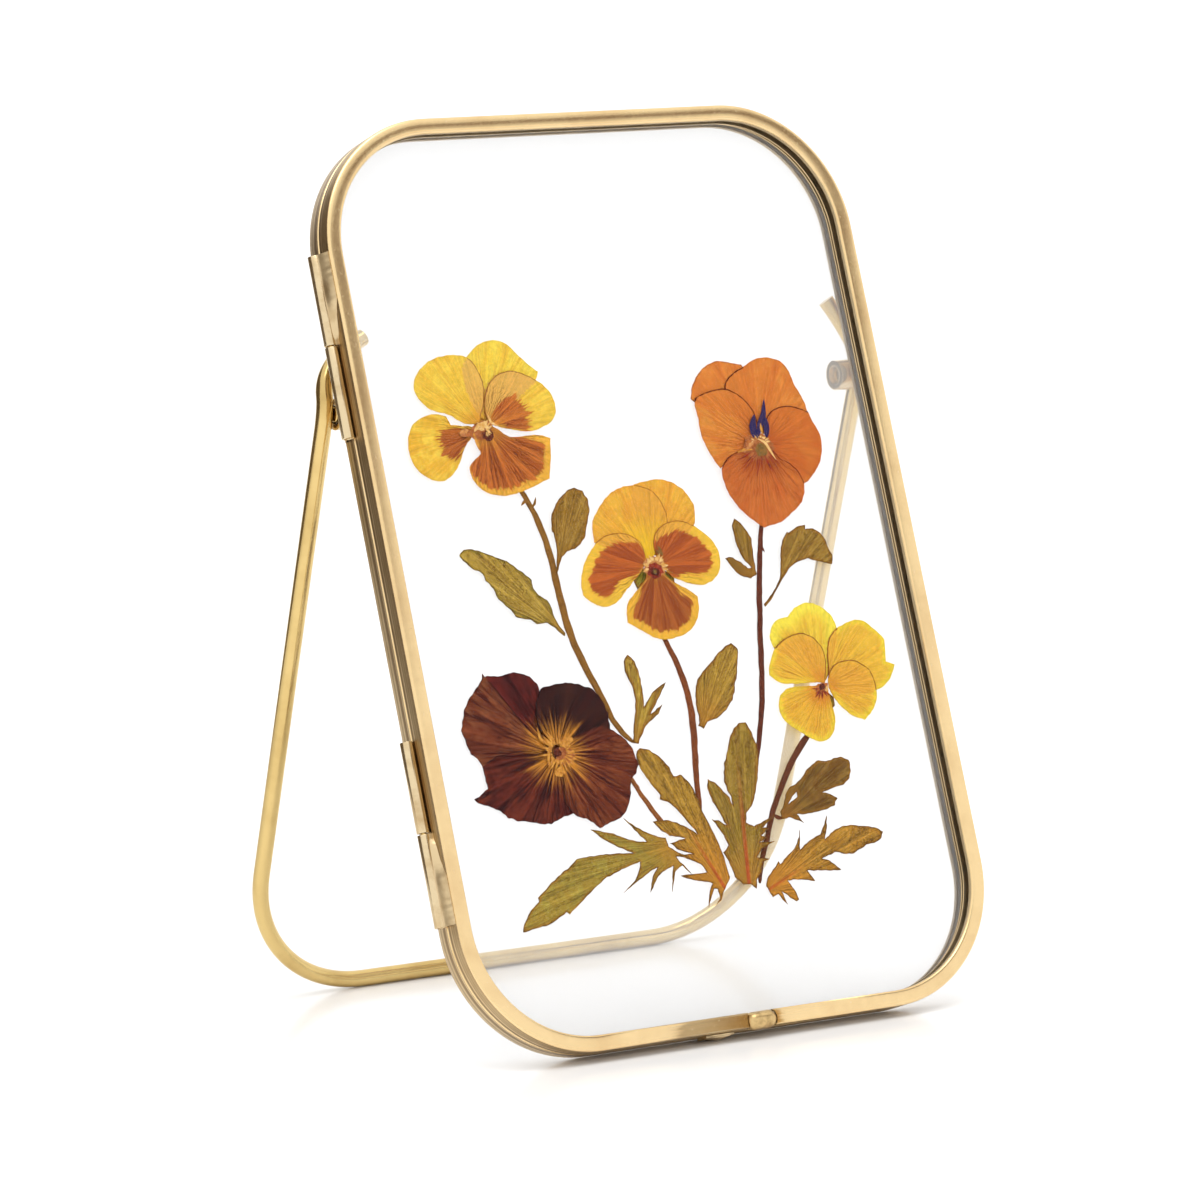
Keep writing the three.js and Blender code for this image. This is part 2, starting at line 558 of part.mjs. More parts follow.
// Leaves: [name, layer, colour, outline, holes].
const LEAVES = [
  ["leaf_toothed_left", 2, 0xaf8a35, [
    [-41.3, 95.1], [-40.4, 95.8], [-38.2, 95.8], [-35, 94.5], [-33, 93.5, 1], [-32.6, 92.9], [-31.3, 92.8],
    [-28.6, 90.5], [-26.8, 89, 1], [-27.2, 88.2], [-26, 86], [-24.3, 84.8], [-23.7, 83.2], [-23.4, 80.7],
    [-21.8, 78.3, 1], [-22.3, 77.8, 1], [-25, 80.4], [-27.5, 80.6, 1], [-27.8, 81.1], [-30.3, 81.7],
    [-31.7, 82.3, 1], [-32, 83.2], [-34.7, 85.9, 1], [-34.8, 87], [-36.7, 89.8, 1], [-36.1, 90.4],
    [-38.6, 91.8], [-40.9, 94.3],
  ]],
  ["leaf_oval_right", 2, 0x9d742c, [
    [-13.7, 105.7], [-12.1, 104.8], [-11.3, 102.2], [-12, 99.8], [-12.9, 98, 1], [-13, 97], [-14.4, 95.2],
    [-16.2, 94], [-18.7, 93.4], [-20.2, 91.4], [-21.2, 89.4, 1], [-21.4, 89.6, 1], [-20.5, 92.2], [-20, 95.2],
    [-20.2, 97.4, 1], [-20.5, 97.7, 1], [-20, 100.5, 1], [-19.6, 101], [-18.5, 102.9, 1], [-17.8, 103.5],
    [-15.6, 105.2],
  ]],
  ["leaf_three_fingered", 2, 0xaf8a35, [
    [-9.6, 73], [-8.2, 71.8], [-7.6, 68.5], [-8, 62.7, 1], [-5, 65.8], [-2.2, 66.9, 1], [-3.8, 64.9],
    [-6.9, 61.2, 1], [-4, 62.8, 1], [-4.6, 61.6], [-8.3, 59.3], [-10, 57.1], [-10.8, 56, 1], [-11.9, 56.2, 1],
    [-10.9, 59.6], [-9.6, 64], [-9.8, 67.4], [-10.6, 69.3], [-10.4, 72.2],
  ]],
  ["leaf_oval_middle", 2, 0xab812f, [
    [4, 57.4, 1], [3.1, 58.1, 1], [3.6, 59], [3.4, 61.6], [4.2, 65.6], [6.1, 68.1], [8.8, 69.9, 1],
    [9.3, 70.6], [10.8, 71.5, 1], [12.7, 72.8], [14.2, 73], [15, 72], [14.1, 68.4, 1], [13.8, 67],
    [12.9, 65.2, 1], [12, 62.8], [9.9, 60.6], [7.4, 59], [5, 58.5],
  ]],
  ["leaf_lobed_crown_left", 2, 0xb18735, [
    [3.3, 28.8, 1], [2.9, 32.8], [1.6, 37.9], [0.1, 42, 1], [-0.4, 45.2], [-2.2, 48.5], [-3.6, 49.5],
    [-4.7, 49.1, 1], [-5.2, 51], [-8.1, 54.2], [-11.2, 55.1], [-11.9, 53], [-10.1, 48.8], [-8.2, 45.8, 1],
    [-8.6, 45.1, 1], [-6.3, 44], [-3.4, 40.2], [-1.7, 37.7, 1], [-5.4, 40.1], [-8.6, 41.2], [-11, 41.1, 1],
    [-9.6, 39.3], [-8, 38.1, 1], [-4.6, 37.2, 1], [-8.2, 36.7, 1], [-6.2, 35], [-3.6, 34.2, 1],
    [-7.3, 34.2, 1], [-4.6, 33.2], [-2.4, 32], [-1.4, 30.4, 1], [-7.3, 30.3, 1], [-4.4, 29.1],
    [-0.7, 28.2, 1], [-1.7, 26.6], [-2.5, 23.8, 1], [-1.3, 26], [-0.6, 27, 1], [0.3, 27, 1], [0.3, 25.2],
    [-0.9, 23.9, 1], [0.7, 25], [1.7, 26.8], [3, 28.2, 1],
  ]],
  ["leaf_lobed_crown_middle", 1, 0xa27f2e, [
    [4.3, 28.8, 1], [3.8, 31.5], [2.8, 33.6, 1], [4.3, 34.6], [3.9, 36.4], [1.8, 40.2, 1], [3.4, 39.5],
    [4.7, 38.6, 1], [4.2, 40.2], [2.6, 43.6], [2.2, 46.7], [2.9, 47.9], [4.9, 45.8], [6.5, 43.8, 1],
    [6.9, 42.1, 1], [7, 43.6], [6.1, 46.7], [6.8, 50.2, 1], [7.6, 51.3], [9, 54.6], [11.4, 57.4], [13, 58],
    [14.2, 55.6], [14.9, 52.4, 1], [14.2, 48.6], [11.1, 41.7], [9.9, 41.1], [9.2, 38.6, 1], [9.8, 37.8],
    [15.8, 39.4, 1], [12.6, 37.3, 1], [14, 37, 1], [11.8, 35.9, 1], [13.2, 35.4, 1], [11.2, 34.6, 1],
    [14.7, 34.5, 1], [11.4, 33.3], [10, 31.9, 1], [12.8, 31.3, 1], [11.1, 30.9], [10.2, 28.8], [8.9, 27.6, 1],
    [8.6, 26, 1], [7.5, 27], [5.9, 27.2, 1],
  ]],
  ["leaf_lobed_long_left", 3, 0xab9138, [
    [-42.9, 23.8, 1], [-41.9, 25.8], [-40.1, 27.8], [-38.2, 29.1, 1], [-38.2, 29.9, 1], [-33.6, 33],
    [-30.1, 34.9, 1], [-29, 35.8], [-24, 36.2], [-16.4, 35.8, 1], [-20.6, 38], [-24.6, 41.1, 1],
    [-19.4, 39.6], [-15.4, 37.9], [-13, 37.5, 1], [-15.2, 40.2], [-17, 42.5, 1], [-13.4, 39.6],
    [-10.6, 38.2], [-8.7, 37.8, 1], [-8.6, 36.2], [-5.4, 34.2, 1], [-7.6, 33.8], [-5.9, 32.2],
    [-4.4, 30.2, 1], [-6.4, 32.2, 1], [-8, 31.4], [-9.6, 27.4, 1], [-8.9, 30.5], [-8.3, 32.5, 1],
    [-11.2, 31.4], [-14.3, 28, 1], [-13.5, 30.2], [-11.9, 32.5, 1], [-16.3, 30.6], [-20.3, 28.5, 1],
    [-16.4, 31.4], [-15.1, 34, 1], [-20.4, 32.7], [-24.1, 31.4, 1], [-28.5, 28.6], [-32.3, 26, 1],
    [-32.9, 26.4, 1], [-37, 24.7],
  ]],
  ["leaf_lobed_right", 2, 0xb5842f, [
    [10.9, 26.2, 1], [11.1, 27.3], [14, 29.8, 1], [14.7, 30.7, 1], [15, 30.1, 1], [18.2, 32.3],
    [19.6, 33.5], [20.8, 36, 1], [19.9, 32.3, 1], [23.5, 34.2], [25.3, 34.8], [27.4, 38.1, 1],
    [26.8, 35.4], [25.8, 33.6, 1], [28.7, 35.2], [31.4, 35.8], [34.3, 35.3, 1], [37.4, 34.8],
    [39.6, 33.2], [36.9, 31.7], [34.8, 31.5], [31.2, 30.1], [27.8, 30.9], [24.5, 30.1, 1],
    [26.4, 29.2], [28.3, 27.4, 1], [25.1, 27.6], [20.6, 28.2, 1], [22, 26, 1], [18.2, 26.8],
    [15.8, 26.8, 1], [17, 24.8], [17.6, 23, 1], [16.9, 22.6, 1], [14.1, 24.9, 1], [14.9, 22.1, 1],
    [13.2, 24.5, 1], [11.9, 24, 1], [11.4, 25.2],
  ]],
  ["leaf_paired_right", 2, 0x85602a, [
    [17.4, 38.5, 1], [17.3, 39.9, 1], [18.6, 41.5], [19.3, 43.1], [21, 44.7], [22.4, 45], [24.6, 46.9],
    [27.9, 48.8], [29.9, 48.4, 1], [32.2, 48.9], [34.7, 48.5], [34.9, 46.4], [33.5, 43.9], [30.6, 43.2],
    [27.4, 42.6, 1], [29.4, 42], [30.8, 40.8], [29, 39.6], [23.5, 38.9], [20.8, 39, 1], [22, 37.3, 1],
    [19.5, 38.5],
  ], [[[19.3, 41.1, 1], [21.7, 42.2, 1], [21.9, 43.4, 1], [20.3, 42.3]]]],
  ["leaf_paired_left", 2, 0x94702b, [
    [16.3, 89.5, 1], [17, 89.9], [18.6, 89.2], [20.8, 87.1, 1], [21.8, 87.2, 1], [20, 89.7], [19.3, 93],
    [19.4, 96], [20.1, 97], [21.4, 95.9], [23.1, 92.7, 1], [22.6, 88.8], [22.6, 85.9], [21.1, 85, 1],
    [18.4, 86.3],
  ]],
  ["leaf_fan_right", 2, 0x93702b, [
    [23, 79.3, 1], [22.8, 79.7, 1], [25.2, 81.8], [27.9, 85], [28.6, 88.2], [29.8, 91.6], [31.3, 93.4, 1],
    [31.8, 93.1, 1], [34, 94.4], [35.8, 94.5, 1], [35.5, 93.6, 1], [37.6, 93.6], [39.6, 91.7], [40, 89],
    [40.6, 88.1], [40.1, 86.3, 1], [37.5, 87.1], [34, 87.8], [30.2, 86.3], [27.4, 83.4], [24.3, 80.2],
  ]],
];

function pressed(name, layer, color, geometry) {
  const mesh = named(name, geometry, dried(color));
  mesh.position.z = FIRST_LAYER - layer * LAYER_PITCH;
  return mesh;
}

function flower(name, petals) {
  return petals.map(([petal, layer, color, outline]) =>
    pressed(name + "_petal_" + petal, layer, color, plate(outline, PETAL_THICK).translate(0, 0, -PETAL_THICK)),
  );
}

function bouquet() {
  const flowers = {
    yellow_viola: YELLOW_VIOLA,
    orange_viola: ORANGE_VIOLA,
    bicolour_viola: BICOLOUR_VIOLA,
    maroon_viola: MAROON_VIOLA,
    golden_viola: GOLDEN_VIOLA,
  };
  const pieces = Object.entries(flowers).flatMap(([name, petals]) => flower(name, petals));
  for (const [name, outline] of Object.entries(SEPALS)) {
    const sepals = plate(outline, PETAL_THICK).translate(0, 0, -PETAL_THICK);
    pieces.push(pressed(name + "_sepals", 5, 0x8f8a2c, sepals));
  }
  for (const [name, line] of Object.entries(STEMS))
    pieces.push(pressed(name + "_stem", STEM_LAYER, 0x6b3a22, stem(line).translate(0, 0, -STEM_THICK / 2)));
  for (const [name, layer, color, outline, holes] of LEAVES)
    pieces.push(pressed(name, layer, color, plate(outline, LEAF_THICK, holes).translate(0, 0, -LEAF_THICK)));
  return pieces;
}

// ---------------------------------------------------------------- assembly
function backHalf() {
  const glass = named("back_glass", pane(), clear());
  glass.position.z = -FRAME_DEPTH + LIP_THICK + touch;
  const pieces = [named("back_frame", backRing(), brass(RING_BRASS, 0.3)), glass];
  for (const side of ["left", "right"]) {
    const direction = side === "left" ? -1 : 1;
    const barrel = tube(BARREL_RADIUS - touch, BARREL_BORE, BARREL.outer - BARREL.inner, 16);
    barrel.rotateZ(Math.PI / 2);
    const mesh = named("stand_barrel_" + side, barrel, brass(RING_BRASS, 0.35));
    mesh.position.set((direction * (BARREL.inner + BARREL.outer)) / 2, PIVOT.y, PIVOT.z);
    pieces.push(mesh);
  }
  const tab = named("catch_tab", catchTab(), brass(RING_BRASS, 0.35));
  tab.position.x = CATCH_TAB.x;
  return [...pieces, tab];
}

function frontHalf() {
  const glass = named("front_glass", pane(), clear());
  glass.position.z = -LIP_THICK - touch - GLASS_THICK;
  const bead = named("catch_bead", catchBead(), brass(RING_BRASS, 0.3));
  bead.position.set(CATCH_BEAD.x, CATCH_BEAD.y, CATCH_BEAD.z);
  return [named("front_frame", frontRing(), brass(RING_BRASS, 0.3)), glass, bead];
}

function stand() {
  const group = new THREE.Group();
  group.position.set(0, PIVOT.y, PIVOT.z);
  group.rotation.x = radians(STAND_OPEN);
  group.add(named("stand_wire", standWire(), brass(WIRE_BRASS, 0.25)));
  const inner = BARREL.inner + 0.2;
  const outer = STAND_HALF_WIDTH - WIRE_RADIUS - touch;
  for (const side of ["left", "right"]) {
    const pin = rod(STAND_PIN_RADIUS, outer - inner, 14);
    pin.rotateZ(Math.PI / 2);
    const mesh = named("stand_pin_" + side, pin, brass(WIRE_BRASS, 0.3));
    mesh.position.x = ((side === "left" ? -1 : 1) * (inner + outer)) / 2;
    group.add(mesh);
  }
  return group;
}

const frame = new THREE.Group();
frame.rotation.x = Math.PI / 2 - radians(LEAN_BACK);
frame.add(...backHalf(), ...frontHalf(), ...bouquet(), stand());
frame.add(...hinge("upper", UPPER_HINGE, true), ...hinge("lower", LOWER_HINGE, false));

// The origin is on the ground, under the middle of the whole object.
const root = new THREE.Group();
root.add(frame);
root.updateMatrixWorld(true);
const bounds = new THREE.Box3().setFromObject(root, true);
const middle = bounds.getCenter(new THREE.Vector3());
frame.position.set(-middle.x, -middle.y, -bounds.min.z);

export default root;
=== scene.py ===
import json
import math
import random

import bpy
from mathutils import Matrix, Vector, noise
from mathutils.bvhtree import BVHTree
from mathutils.geometry import intersect_point_line


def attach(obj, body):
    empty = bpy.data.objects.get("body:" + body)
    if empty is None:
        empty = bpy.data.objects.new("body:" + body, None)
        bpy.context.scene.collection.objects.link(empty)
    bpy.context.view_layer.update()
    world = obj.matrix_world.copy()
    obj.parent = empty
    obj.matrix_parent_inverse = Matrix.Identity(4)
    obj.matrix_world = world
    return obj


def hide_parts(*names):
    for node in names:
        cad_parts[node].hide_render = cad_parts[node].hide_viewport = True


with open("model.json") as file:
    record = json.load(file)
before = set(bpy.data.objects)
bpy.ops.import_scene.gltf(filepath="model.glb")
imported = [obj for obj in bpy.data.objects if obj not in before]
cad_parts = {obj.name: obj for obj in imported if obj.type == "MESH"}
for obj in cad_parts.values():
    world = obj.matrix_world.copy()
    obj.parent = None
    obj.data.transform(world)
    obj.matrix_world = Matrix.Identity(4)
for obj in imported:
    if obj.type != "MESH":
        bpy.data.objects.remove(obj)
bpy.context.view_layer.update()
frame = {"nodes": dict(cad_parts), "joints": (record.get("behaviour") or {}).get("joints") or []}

bpy.ops.object.select_all(action="DESELECT")

# ------------------ the two rings
# Each half of the holder is a ring of thin brass channel, rolled and bent round the pane: a wall outside, a
# lip over the glass and a small turned edge inside, with a narrow lip soldered in behind the glass. The two
# rings meet at a fine groove half-way through the holder's depth.
WIDTH = 116.5
HEIGHT = 178
CORNER = 25.6
DEPTH = 7.8
GROOVE = 0.14
CHAMFER = 0.2
EDGE = 0.5
ROUNDING = 0.4
SHEET = 0.3
RETURN = 0.75
LEDGE_SHEET = 0.28
LEDGE_INSET = 0.3
CORNER_SEGMENTS = 28


def linear(code):
    """An sRGB hex colour as a linear one."""
    channels = [int(code[i : i + 2], 16) / 255 for i in (0, 2, 4)]
    return (*(c / 12.92 if c <= 0.04045 else ((c + 0.055) / 1.055) ** 2.4 for c in channels), 1)


def connect(tree, target, inputs):
    """Links a node's inputs to outputs, or sets them."""
    for key, value in inputs.items():
        if isinstance(value, bpy.types.NodeSocket):
            tree.links.new(value, target.inputs[key])
        else:
            target.inputs[key].default_value = value


def node(tree, kind, inputs=None, out=0, **settings):
    """Adds a node with its settings and links, and gives back one of its outputs."""
    new = tree.nodes.new(kind)
    for name, value in settings.items():
        setattr(new, name, value)
    connect(tree, new, inputs or {})
    return new.outputs[out]


def new_material(name):
    """An empty node material with its tree and its shader."""
    material = bpy.data.materials.new(name)
    material.use_nodes = True
    return material, material.node_tree, material.node_tree.nodes["Principled BSDF"]


# The whole holder leans back on its stand. Every piece is made in millimetres in the rings' own axes, with x
# to the right, y up from the bottom edge and z out of the front face, and is then set in its place.
LEAN_BACK = 18.91
PIVOT = Vector((0, 124.9, -10.8))
lean = Matrix.Rotation(math.radians(90 - LEAN_BACK), 4, "X")
stand_joint = next(joint for joint in frame["joints"] if joint["name"] == "stand_fold")
pivot_place = Vector(stand_joint["pos_m"])
FRAME_AXES = Matrix.Translation(pivot_place - lean @ (PIVOT / 1000)) @ lean @ Matrix.Scale(0.001, 4)


# Lacquered brass gives the eye a pale satin gold, with duller, browner stains. Where the channel was drawn
# through a die it has soft lines along its length, coarser than real ones, so that they show. The outer
# sides are a darker copy of the brass, which is painted shade, and their dark lines are partly painted
# reflection, standing in for the dark bands that the sides mirror.
LINES_APART = 0.9


def brass(name, colour, stained, roughness, grain_mm, stain_mm, lines=None):
    material, tree, shader = new_material(name)
    place = node(tree, "ShaderNodeTexCoord", out="Object")
    stain = {"Vector": place, "Scale": 1000 / stain_mm, "Detail": 4.0, "Roughness": 0.6}
    tints = [(node(tree, "ShaderNodeTexNoise", stain), 0.45, 0.8, stained)]
    grain = node(tree, "ShaderNodeTexNoise", {"Vector": place, "Scale": 1000 / grain_mm, "Detail": 3.0})
    ridges = grain
    if lines:
        through = FRAME_AXES.col[2].xyz.normalized()
        depth = node(tree, "ShaderNodeVectorMath", {0: place, 1: through}, "Value", operation="DOT_PRODUCT")
        drawn = {"W": depth, "Scale": 1000 / LINES_APART, "Detail": 2.0}
        ridges = node(tree, "ShaderNodeTexNoise", drawn, noise_dimensions="1D")
        tints.append((ridges, 0.42, 0.6, lines))
    tone = linear(colour)
    for pattern, low, high, tint in tints:
        share = node(tree, "ShaderNodeMapRange", {"Value": pattern, "From Min": low, "From Max": high})
        tone = node(tree, "ShaderNodeMix", {0: share, 6: tone, 7: linear(tint)}, 2, data_type="RGBA")
    spread = {"Value": grain, "To Min": roughness * 0.75, "To Max": roughness * 1.3}
    gloss = node(tree, "ShaderNodeMapRange", spread)
    bump = node(tree, "ShaderNodeBump", {"Height": ridges, "Strength": 0.12, "Distance": 0.00004})
    connect(tree, shader, {"Base Color": tone, "Metallic": 1, "Roughness": gloss, "Normal": bump})
    return material


channel_brass = brass("lacquered brass channel", "EACD9A", "D8B684", 0.24, 0.5, 14)
# The inside of the channel is rougher, unpolished brass, and its darker tone is painted shade for the dark
# band inside the channel.
channel_inside_shaded = brass("unpolished brass with painted shade inside the channel", "BAA480", "CDB894", 0.5, 0.5, 9)
# The outer sides are a darker copy of the lip's brass, painted shade, and their lines are partly painted
# reflection.
channel_side_shaded = brass("drawn side of the brass channel with painted shade", "D6BD92", "BC9E70", 0.36, 0.5, 12, "947A56")


def only(piece):
    """Makes a piece the one that the next operators act on."""
    bpy.ops.object.select_all(action="DESELECT")
    piece.select_set(True)
    bpy.context.view_layer.objects.active = piece


def edit_all():
    """Goes into edit mode with everything selected."""
    bpy.ops.object.mode_set(mode="EDIT")
    bpy.ops.mesh.select_all(action="SELECT")


def leave_edit():
    bpy.ops.object.mode_set(mode="OBJECT")


def pick_faces(piece, wanted):
    """Goes into edit mode with just the faces selected that meet a test."""
    bpy.ops.object.mode_set(mode="EDIT")
    bpy.ops.mesh.select_mode(type="FACE")
    bpy.ops.mesh.select_all(action="DESELECT")
    leave_edit()
    for polygon in piece.data.polygons:
        polygon.select = wanted(polygon)
    bpy.ops.object.mode_set(mode="EDIT")


def extrude(*step):
    bpy.ops.mesh.extrude_region_move(TRANSFORM_OT_translate={"value": step})


def rounded_plate(inset, z):
    """A flat plate with the ring's outline, drawn in by an inset, left in edit mode and selected."""
    bpy.ops.mesh.primitive_plane_add(size=1, location=(0, HEIGHT / 2, z))
    plate = bpy.context.object
    plate.scale = (WIDTH - 2 * inset, HEIGHT - 2 * inset, 1)
    bpy.ops.object.transform_apply()
    edit_all()
    bpy.ops.mesh.bevel(offset=CORNER - inset, segments=CORNER_SEGMENTS, affect="VERTICES")
    return plate


def sheet_walls(ring, thickness):
    """Opens the plate's middle and gives the sheet its thickness, its inner side in unpolished brass darkened
    as painted shade.
    """
    pick_faces(ring, lambda face: len(face.vertices) > 4)
    bpy.ops.mesh.delete(type="FACE")
    leave_edit()
    for material in (channel_brass, channel_inside_shaded, channel_side_shaded):
        ring.data.materials.append(material)
    walls = ring.modifiers.new("sheet", "SOLIDIFY")
    walls.thickness = thickness
    walls.offset = -1
    walls.use_even_offset = True
    walls.material_offset = 1
    bpy.ops.object.modifier_apply(modifier=walls.name)


def channel_ring(lip):
    """A ring with its lip facing +z at z = 0 and its open side at the groove, bent from one sheet."""
    wall = DEPTH / 2 - GROOVE / 2 - CHAMFER
    ring = rounded_plate(CHAMFER, -wall - CHAMFER)
    extrude(0, 0, CHAMFER)
    bpy.ops.transform.resize(
        value=(WIDTH / (WIDTH - 2 * CHAMFER), HEIGHT / (HEIGHT - 2 * CHAMFER), 1),
        center_override=(0, HEIGHT / 2, 0),
    )
    extrude(0, 0, wall - EDGE)
    dome = (lip - 2 * ROUNDING) / 6
    rise = ((0.08, 0.2), (0.12, 0.12), (0.2, 0.08), (dome, 0.05), (dome, 0.03), (dome, 0.02))
    for thickness, depth in rise:
        bpy.ops.mesh.inset(thickness=thickness, depth=depth)
    for thickness, depth in reversed(rise):
        bpy.ops.mesh.inset(thickness=thickness, depth=-depth)
    extrude(0, 0, -RETURN)
    leave_edit()
    sheet_walls(ring, SHEET)
    # Walls facing in take the darker inside brass and walls facing out the darker side brass, both painted
    # shade.
    for polygon in ring.data.polygons:
        if abs(polygon.normal.z) < 0.3:
            out = polygon.normal.dot(polygon.center - Vector((0, HEIGHT / 2, polygon.center.z)))
            polygon.material_index = 2 if out > 0 else 1
    bpy.ops.object.shade_smooth_by_angle(angle=math.radians(40))
    return ring


def inner_lip(lip, z):
    """The narrow lip that holds the pane from behind, inside the channel."""
    ledge = rounded_plate(LEDGE_INSET, z)
    bpy.ops.mesh.inset(thickness=lip - LEDGE_INSET)
    leave_edit()
    sheet_walls(ledge, LEDGE_SHEET)
    # The lip's faces take the darker inside brass: painted shade for the dark band behind the glass.
    for polygon in ledge.data.polygons:
        polygon.material_index = 1 if abs(polygon.normal.z) > 0.5 else 0
    return ledge


def settle(piece, skin, name, body, slot, *nodes):
    """Gives a finished piece its material, and puts it in its place, on its body and for its CAD nodes."""
    if skin:
        piece.data.materials.append(skin)
    only(piece)
    piece.name = name
    piece.data.name = name
    bpy.ops.object.transform_apply()
    piece.matrix_world = FRAME_AXES
    bpy.ops.object.transform_apply()
    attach(piece, body)
    if nodes:
        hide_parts(*nodes)


FRONT_LIP = 3
BACK_LIP = 2.6
front_ledge = inner_lip(FRONT_LIP, -3.1)
settle(front_ledge, None, "front_ring_inner_lip", "front_half", "ring_brass")
back_ledge = inner_lip(BACK_LIP, -4.42)
settle(back_ledge, None, "back_ring_inner_lip", "back_half", "ring_brass")
front_ring = channel_ring(FRONT_LIP)
back_ring = channel_ring(BACK_LIP)
back_ring.scale.z = -1
back_ring.location.z = -DEPTH
only(back_ring)
bpy.ops.object.transform_apply()
edit_all()
bpy.ops.mesh.flip_normals()
leave_edit()

# ------------------ the catch
# A pillow-shaped brass bead, cast and soldered into a gap in the front ring's bottom bar, and a spring tab of
# brass strip under the back ring, which hooks below the front one and holds the holder shut. Both are dented,
# warmer and more mottled than the rings, left as soldered.
BEAD_PLACE = (2.1, 1.35, -0.9)
BEAD_RADIUS = 1.8
BEAD_LENGTH = 6.4
BEAD_GAP = 0.16
BEAD_DENT = 0.13
TAB_PLACE = (-6.9, -0.55, -3.0)
TAB_SIZE = (6.1, 0.9, 3.4)
TAB_LOW_X = -5.6
TAB_REACH_LEFT = 4.35
TAB_REACH_RIGHT = 1.75
nugget = brass("cast brass bead", "D2B47E", "8E6F42", 0.3, 0.9, 1.6)
solder = brass("brass solder", "D8C096", "AC8E62", 0.32, 0.9, 4)


def round_edges(piece, width, segments, smooth_to, sharper_than=30):
    """Rounds off the edges that are sharper than an angle, and shades the rest smooth."""
    rounding = piece.modifiers.new("rounding", "BEVEL")
    rounding.width = width
    rounding.segments = segments
    rounding.angle_limit = math.radians(sharper_than)
    bpy.ops.object.modifier_apply(modifier=rounding.name)
    bpy.ops.object.shade_smooth_by_angle(angle=math.radians(smooth_to))


def cross_rod(radius, length, place, sides=40):
    """A rod from left to right."""
    bpy.ops.mesh.primitive_cylinder_add(
        vertices=sides, radius=radius, depth=length, location=place, rotation=(0, math.pi / 2, 0)
    )
    return bpy.context.object


pocket = cross_rod(BEAD_RADIUS + BEAD_GAP, BEAD_LENGTH + 2 * BEAD_GAP, BEAD_PLACE)
round_edges(pocket, 1.5, 9, 60)
only(front_ring)
cut = front_ring.modifiers.new("pocket", "BOOLEAN")
cut.operation = "DIFFERENCE"
cut.object = pocket
bpy.ops.object.modifier_apply(modifier=cut.name)
bpy.data.objects.remove(pocket)
settle(front_ring, None, "front_ring", "front_half", "ring_brass", "front_frame")
settle(back_ring, None, "back_ring", "back_half", "ring_brass", "back_frame")

bead = cross_rod(BEAD_RADIUS, BEAD_LENGTH, BEAD_PLACE)
round_edges(bead, 1.6, 9, 60)
for vertex in bead.data.vertices:
    vertex.co += vertex.normal * BEAD_DENT * (noise.noise(vertex.co * 0.8) - 0.6)
settle(bead, nugget, "catch_pillow", "front_half", "ring_brass", "catch_bead")

bpy.ops.mesh.primitive_cube_add(size=1, location=TAB_PLACE, scale=TAB_SIZE)
tab = bpy.context.object
bpy.ops.object.transform_apply()
edit_all()
bpy.ops.mesh.subdivide(number_cuts=5)
leave_edit()
for vertex in tab.data.vertices:
    forward = max(0, (vertex.co.z + 2.6) / 1.3)
    if vertex.co.y < -0.6:
        beside = vertex.co.x - TAB_LOW_X
        aside = beside / (TAB_REACH_RIGHT if beside > 0 else -TAB_REACH_LEFT)
        vertex.co.y += max(0.35 * forward**2, 0.7 * aside)
    vertex.co.x += 0.12 * noise.noise(vertex.co * 0.6)
round_edges(tab, 0.18, 3, 50)
settle(tab, solder, "catch_spring_tab", "back_half", "ring_brass", "catch_tab")

# ------------------ the hinges
# Two hinges join the rings on the left. Each has two rolled brass tubes on one drawn pin, and each tube is
# soldered to its ring by a long web with a ragged end. The front tube is on top in the upper hinge and below
# in the lower one.
HINGE_X = -WIDTH / 2 - 1.25
HINGE_Z = -DEPTH / 2
KNUCKLE_RADIUS = 1.2
KNUCKLE_BORE = 0.75
KNUCKLE_GAP = 0.3
BORE_DEPTH = 1.5
HINGE_PIN_RADIUS = 0.55
HINGE_PIN_SHORT = 0.5
WEB_SHEET = 0.2
WEB_REACH = 2.5
WEB_START = 0.1
HINGES = {
    "upper": ((136.1, 153.6, "front"), (118.4, 136.1, "back")),
    "lower": ((44.1, 61.4, "back"), (26.5, 44.1, "front")),
}
tube_brass = brass("rolled brass tube", "DCC7A0", "B99A6C", 0.2, 0.6, 5)
drawn_brass = brass("drawn brass wire", "D6BA7C", "B7985C", 0.16, 0.7, 14)


def upright_rod(radius, low, high, x, z, sides):
    """A rod from bottom to top."""
    bpy.ops.mesh.primitive_cylinder_add(
        vertices=sides,
        radius=radius,
        depth=high - low,
        location=(x, (low + high) / 2, z),
        rotation=(math.pi / 2, 0, 0),
    )
    bpy.ops.object.transform_apply()
    return bpy.context.object


def upright_tube(radius, bore, low, high, x, z):
    """A tube from bottom to top, with its bore sunk into both ends."""
    tube = upright_rod(radius, low, high, x, z, 36)
    for end, inward in ((high, -1), (low, 1)):
        pick_faces(tube, lambda face: len(face.vertices) > 4 and abs(face.center.y - end) < 0.01)
        bpy.ops.mesh.inset(thickness=radius - bore)
        extrude(0, BORE_DEPTH * inward, 0)
        leave_edit()
    round_edges(tube, 0.1, 2, 35, 60)
    return tube


def thicken(piece, thickness, smooth_to, offset=-1):
    """Gives a sheet its thickness, backwards from its face unless told otherwise, and shades it smooth."""
    only(piece)
    sheet = piece.modifiers.new("thickness", "SOLIDIFY")
    sheet.thickness = thickness
    sheet.offset = offset
    bpy.ops.object.modifier_apply(modifier=sheet.name)
    bpy.ops.object.shade_smooth_by_angle(angle=math.radians(smooth_to))


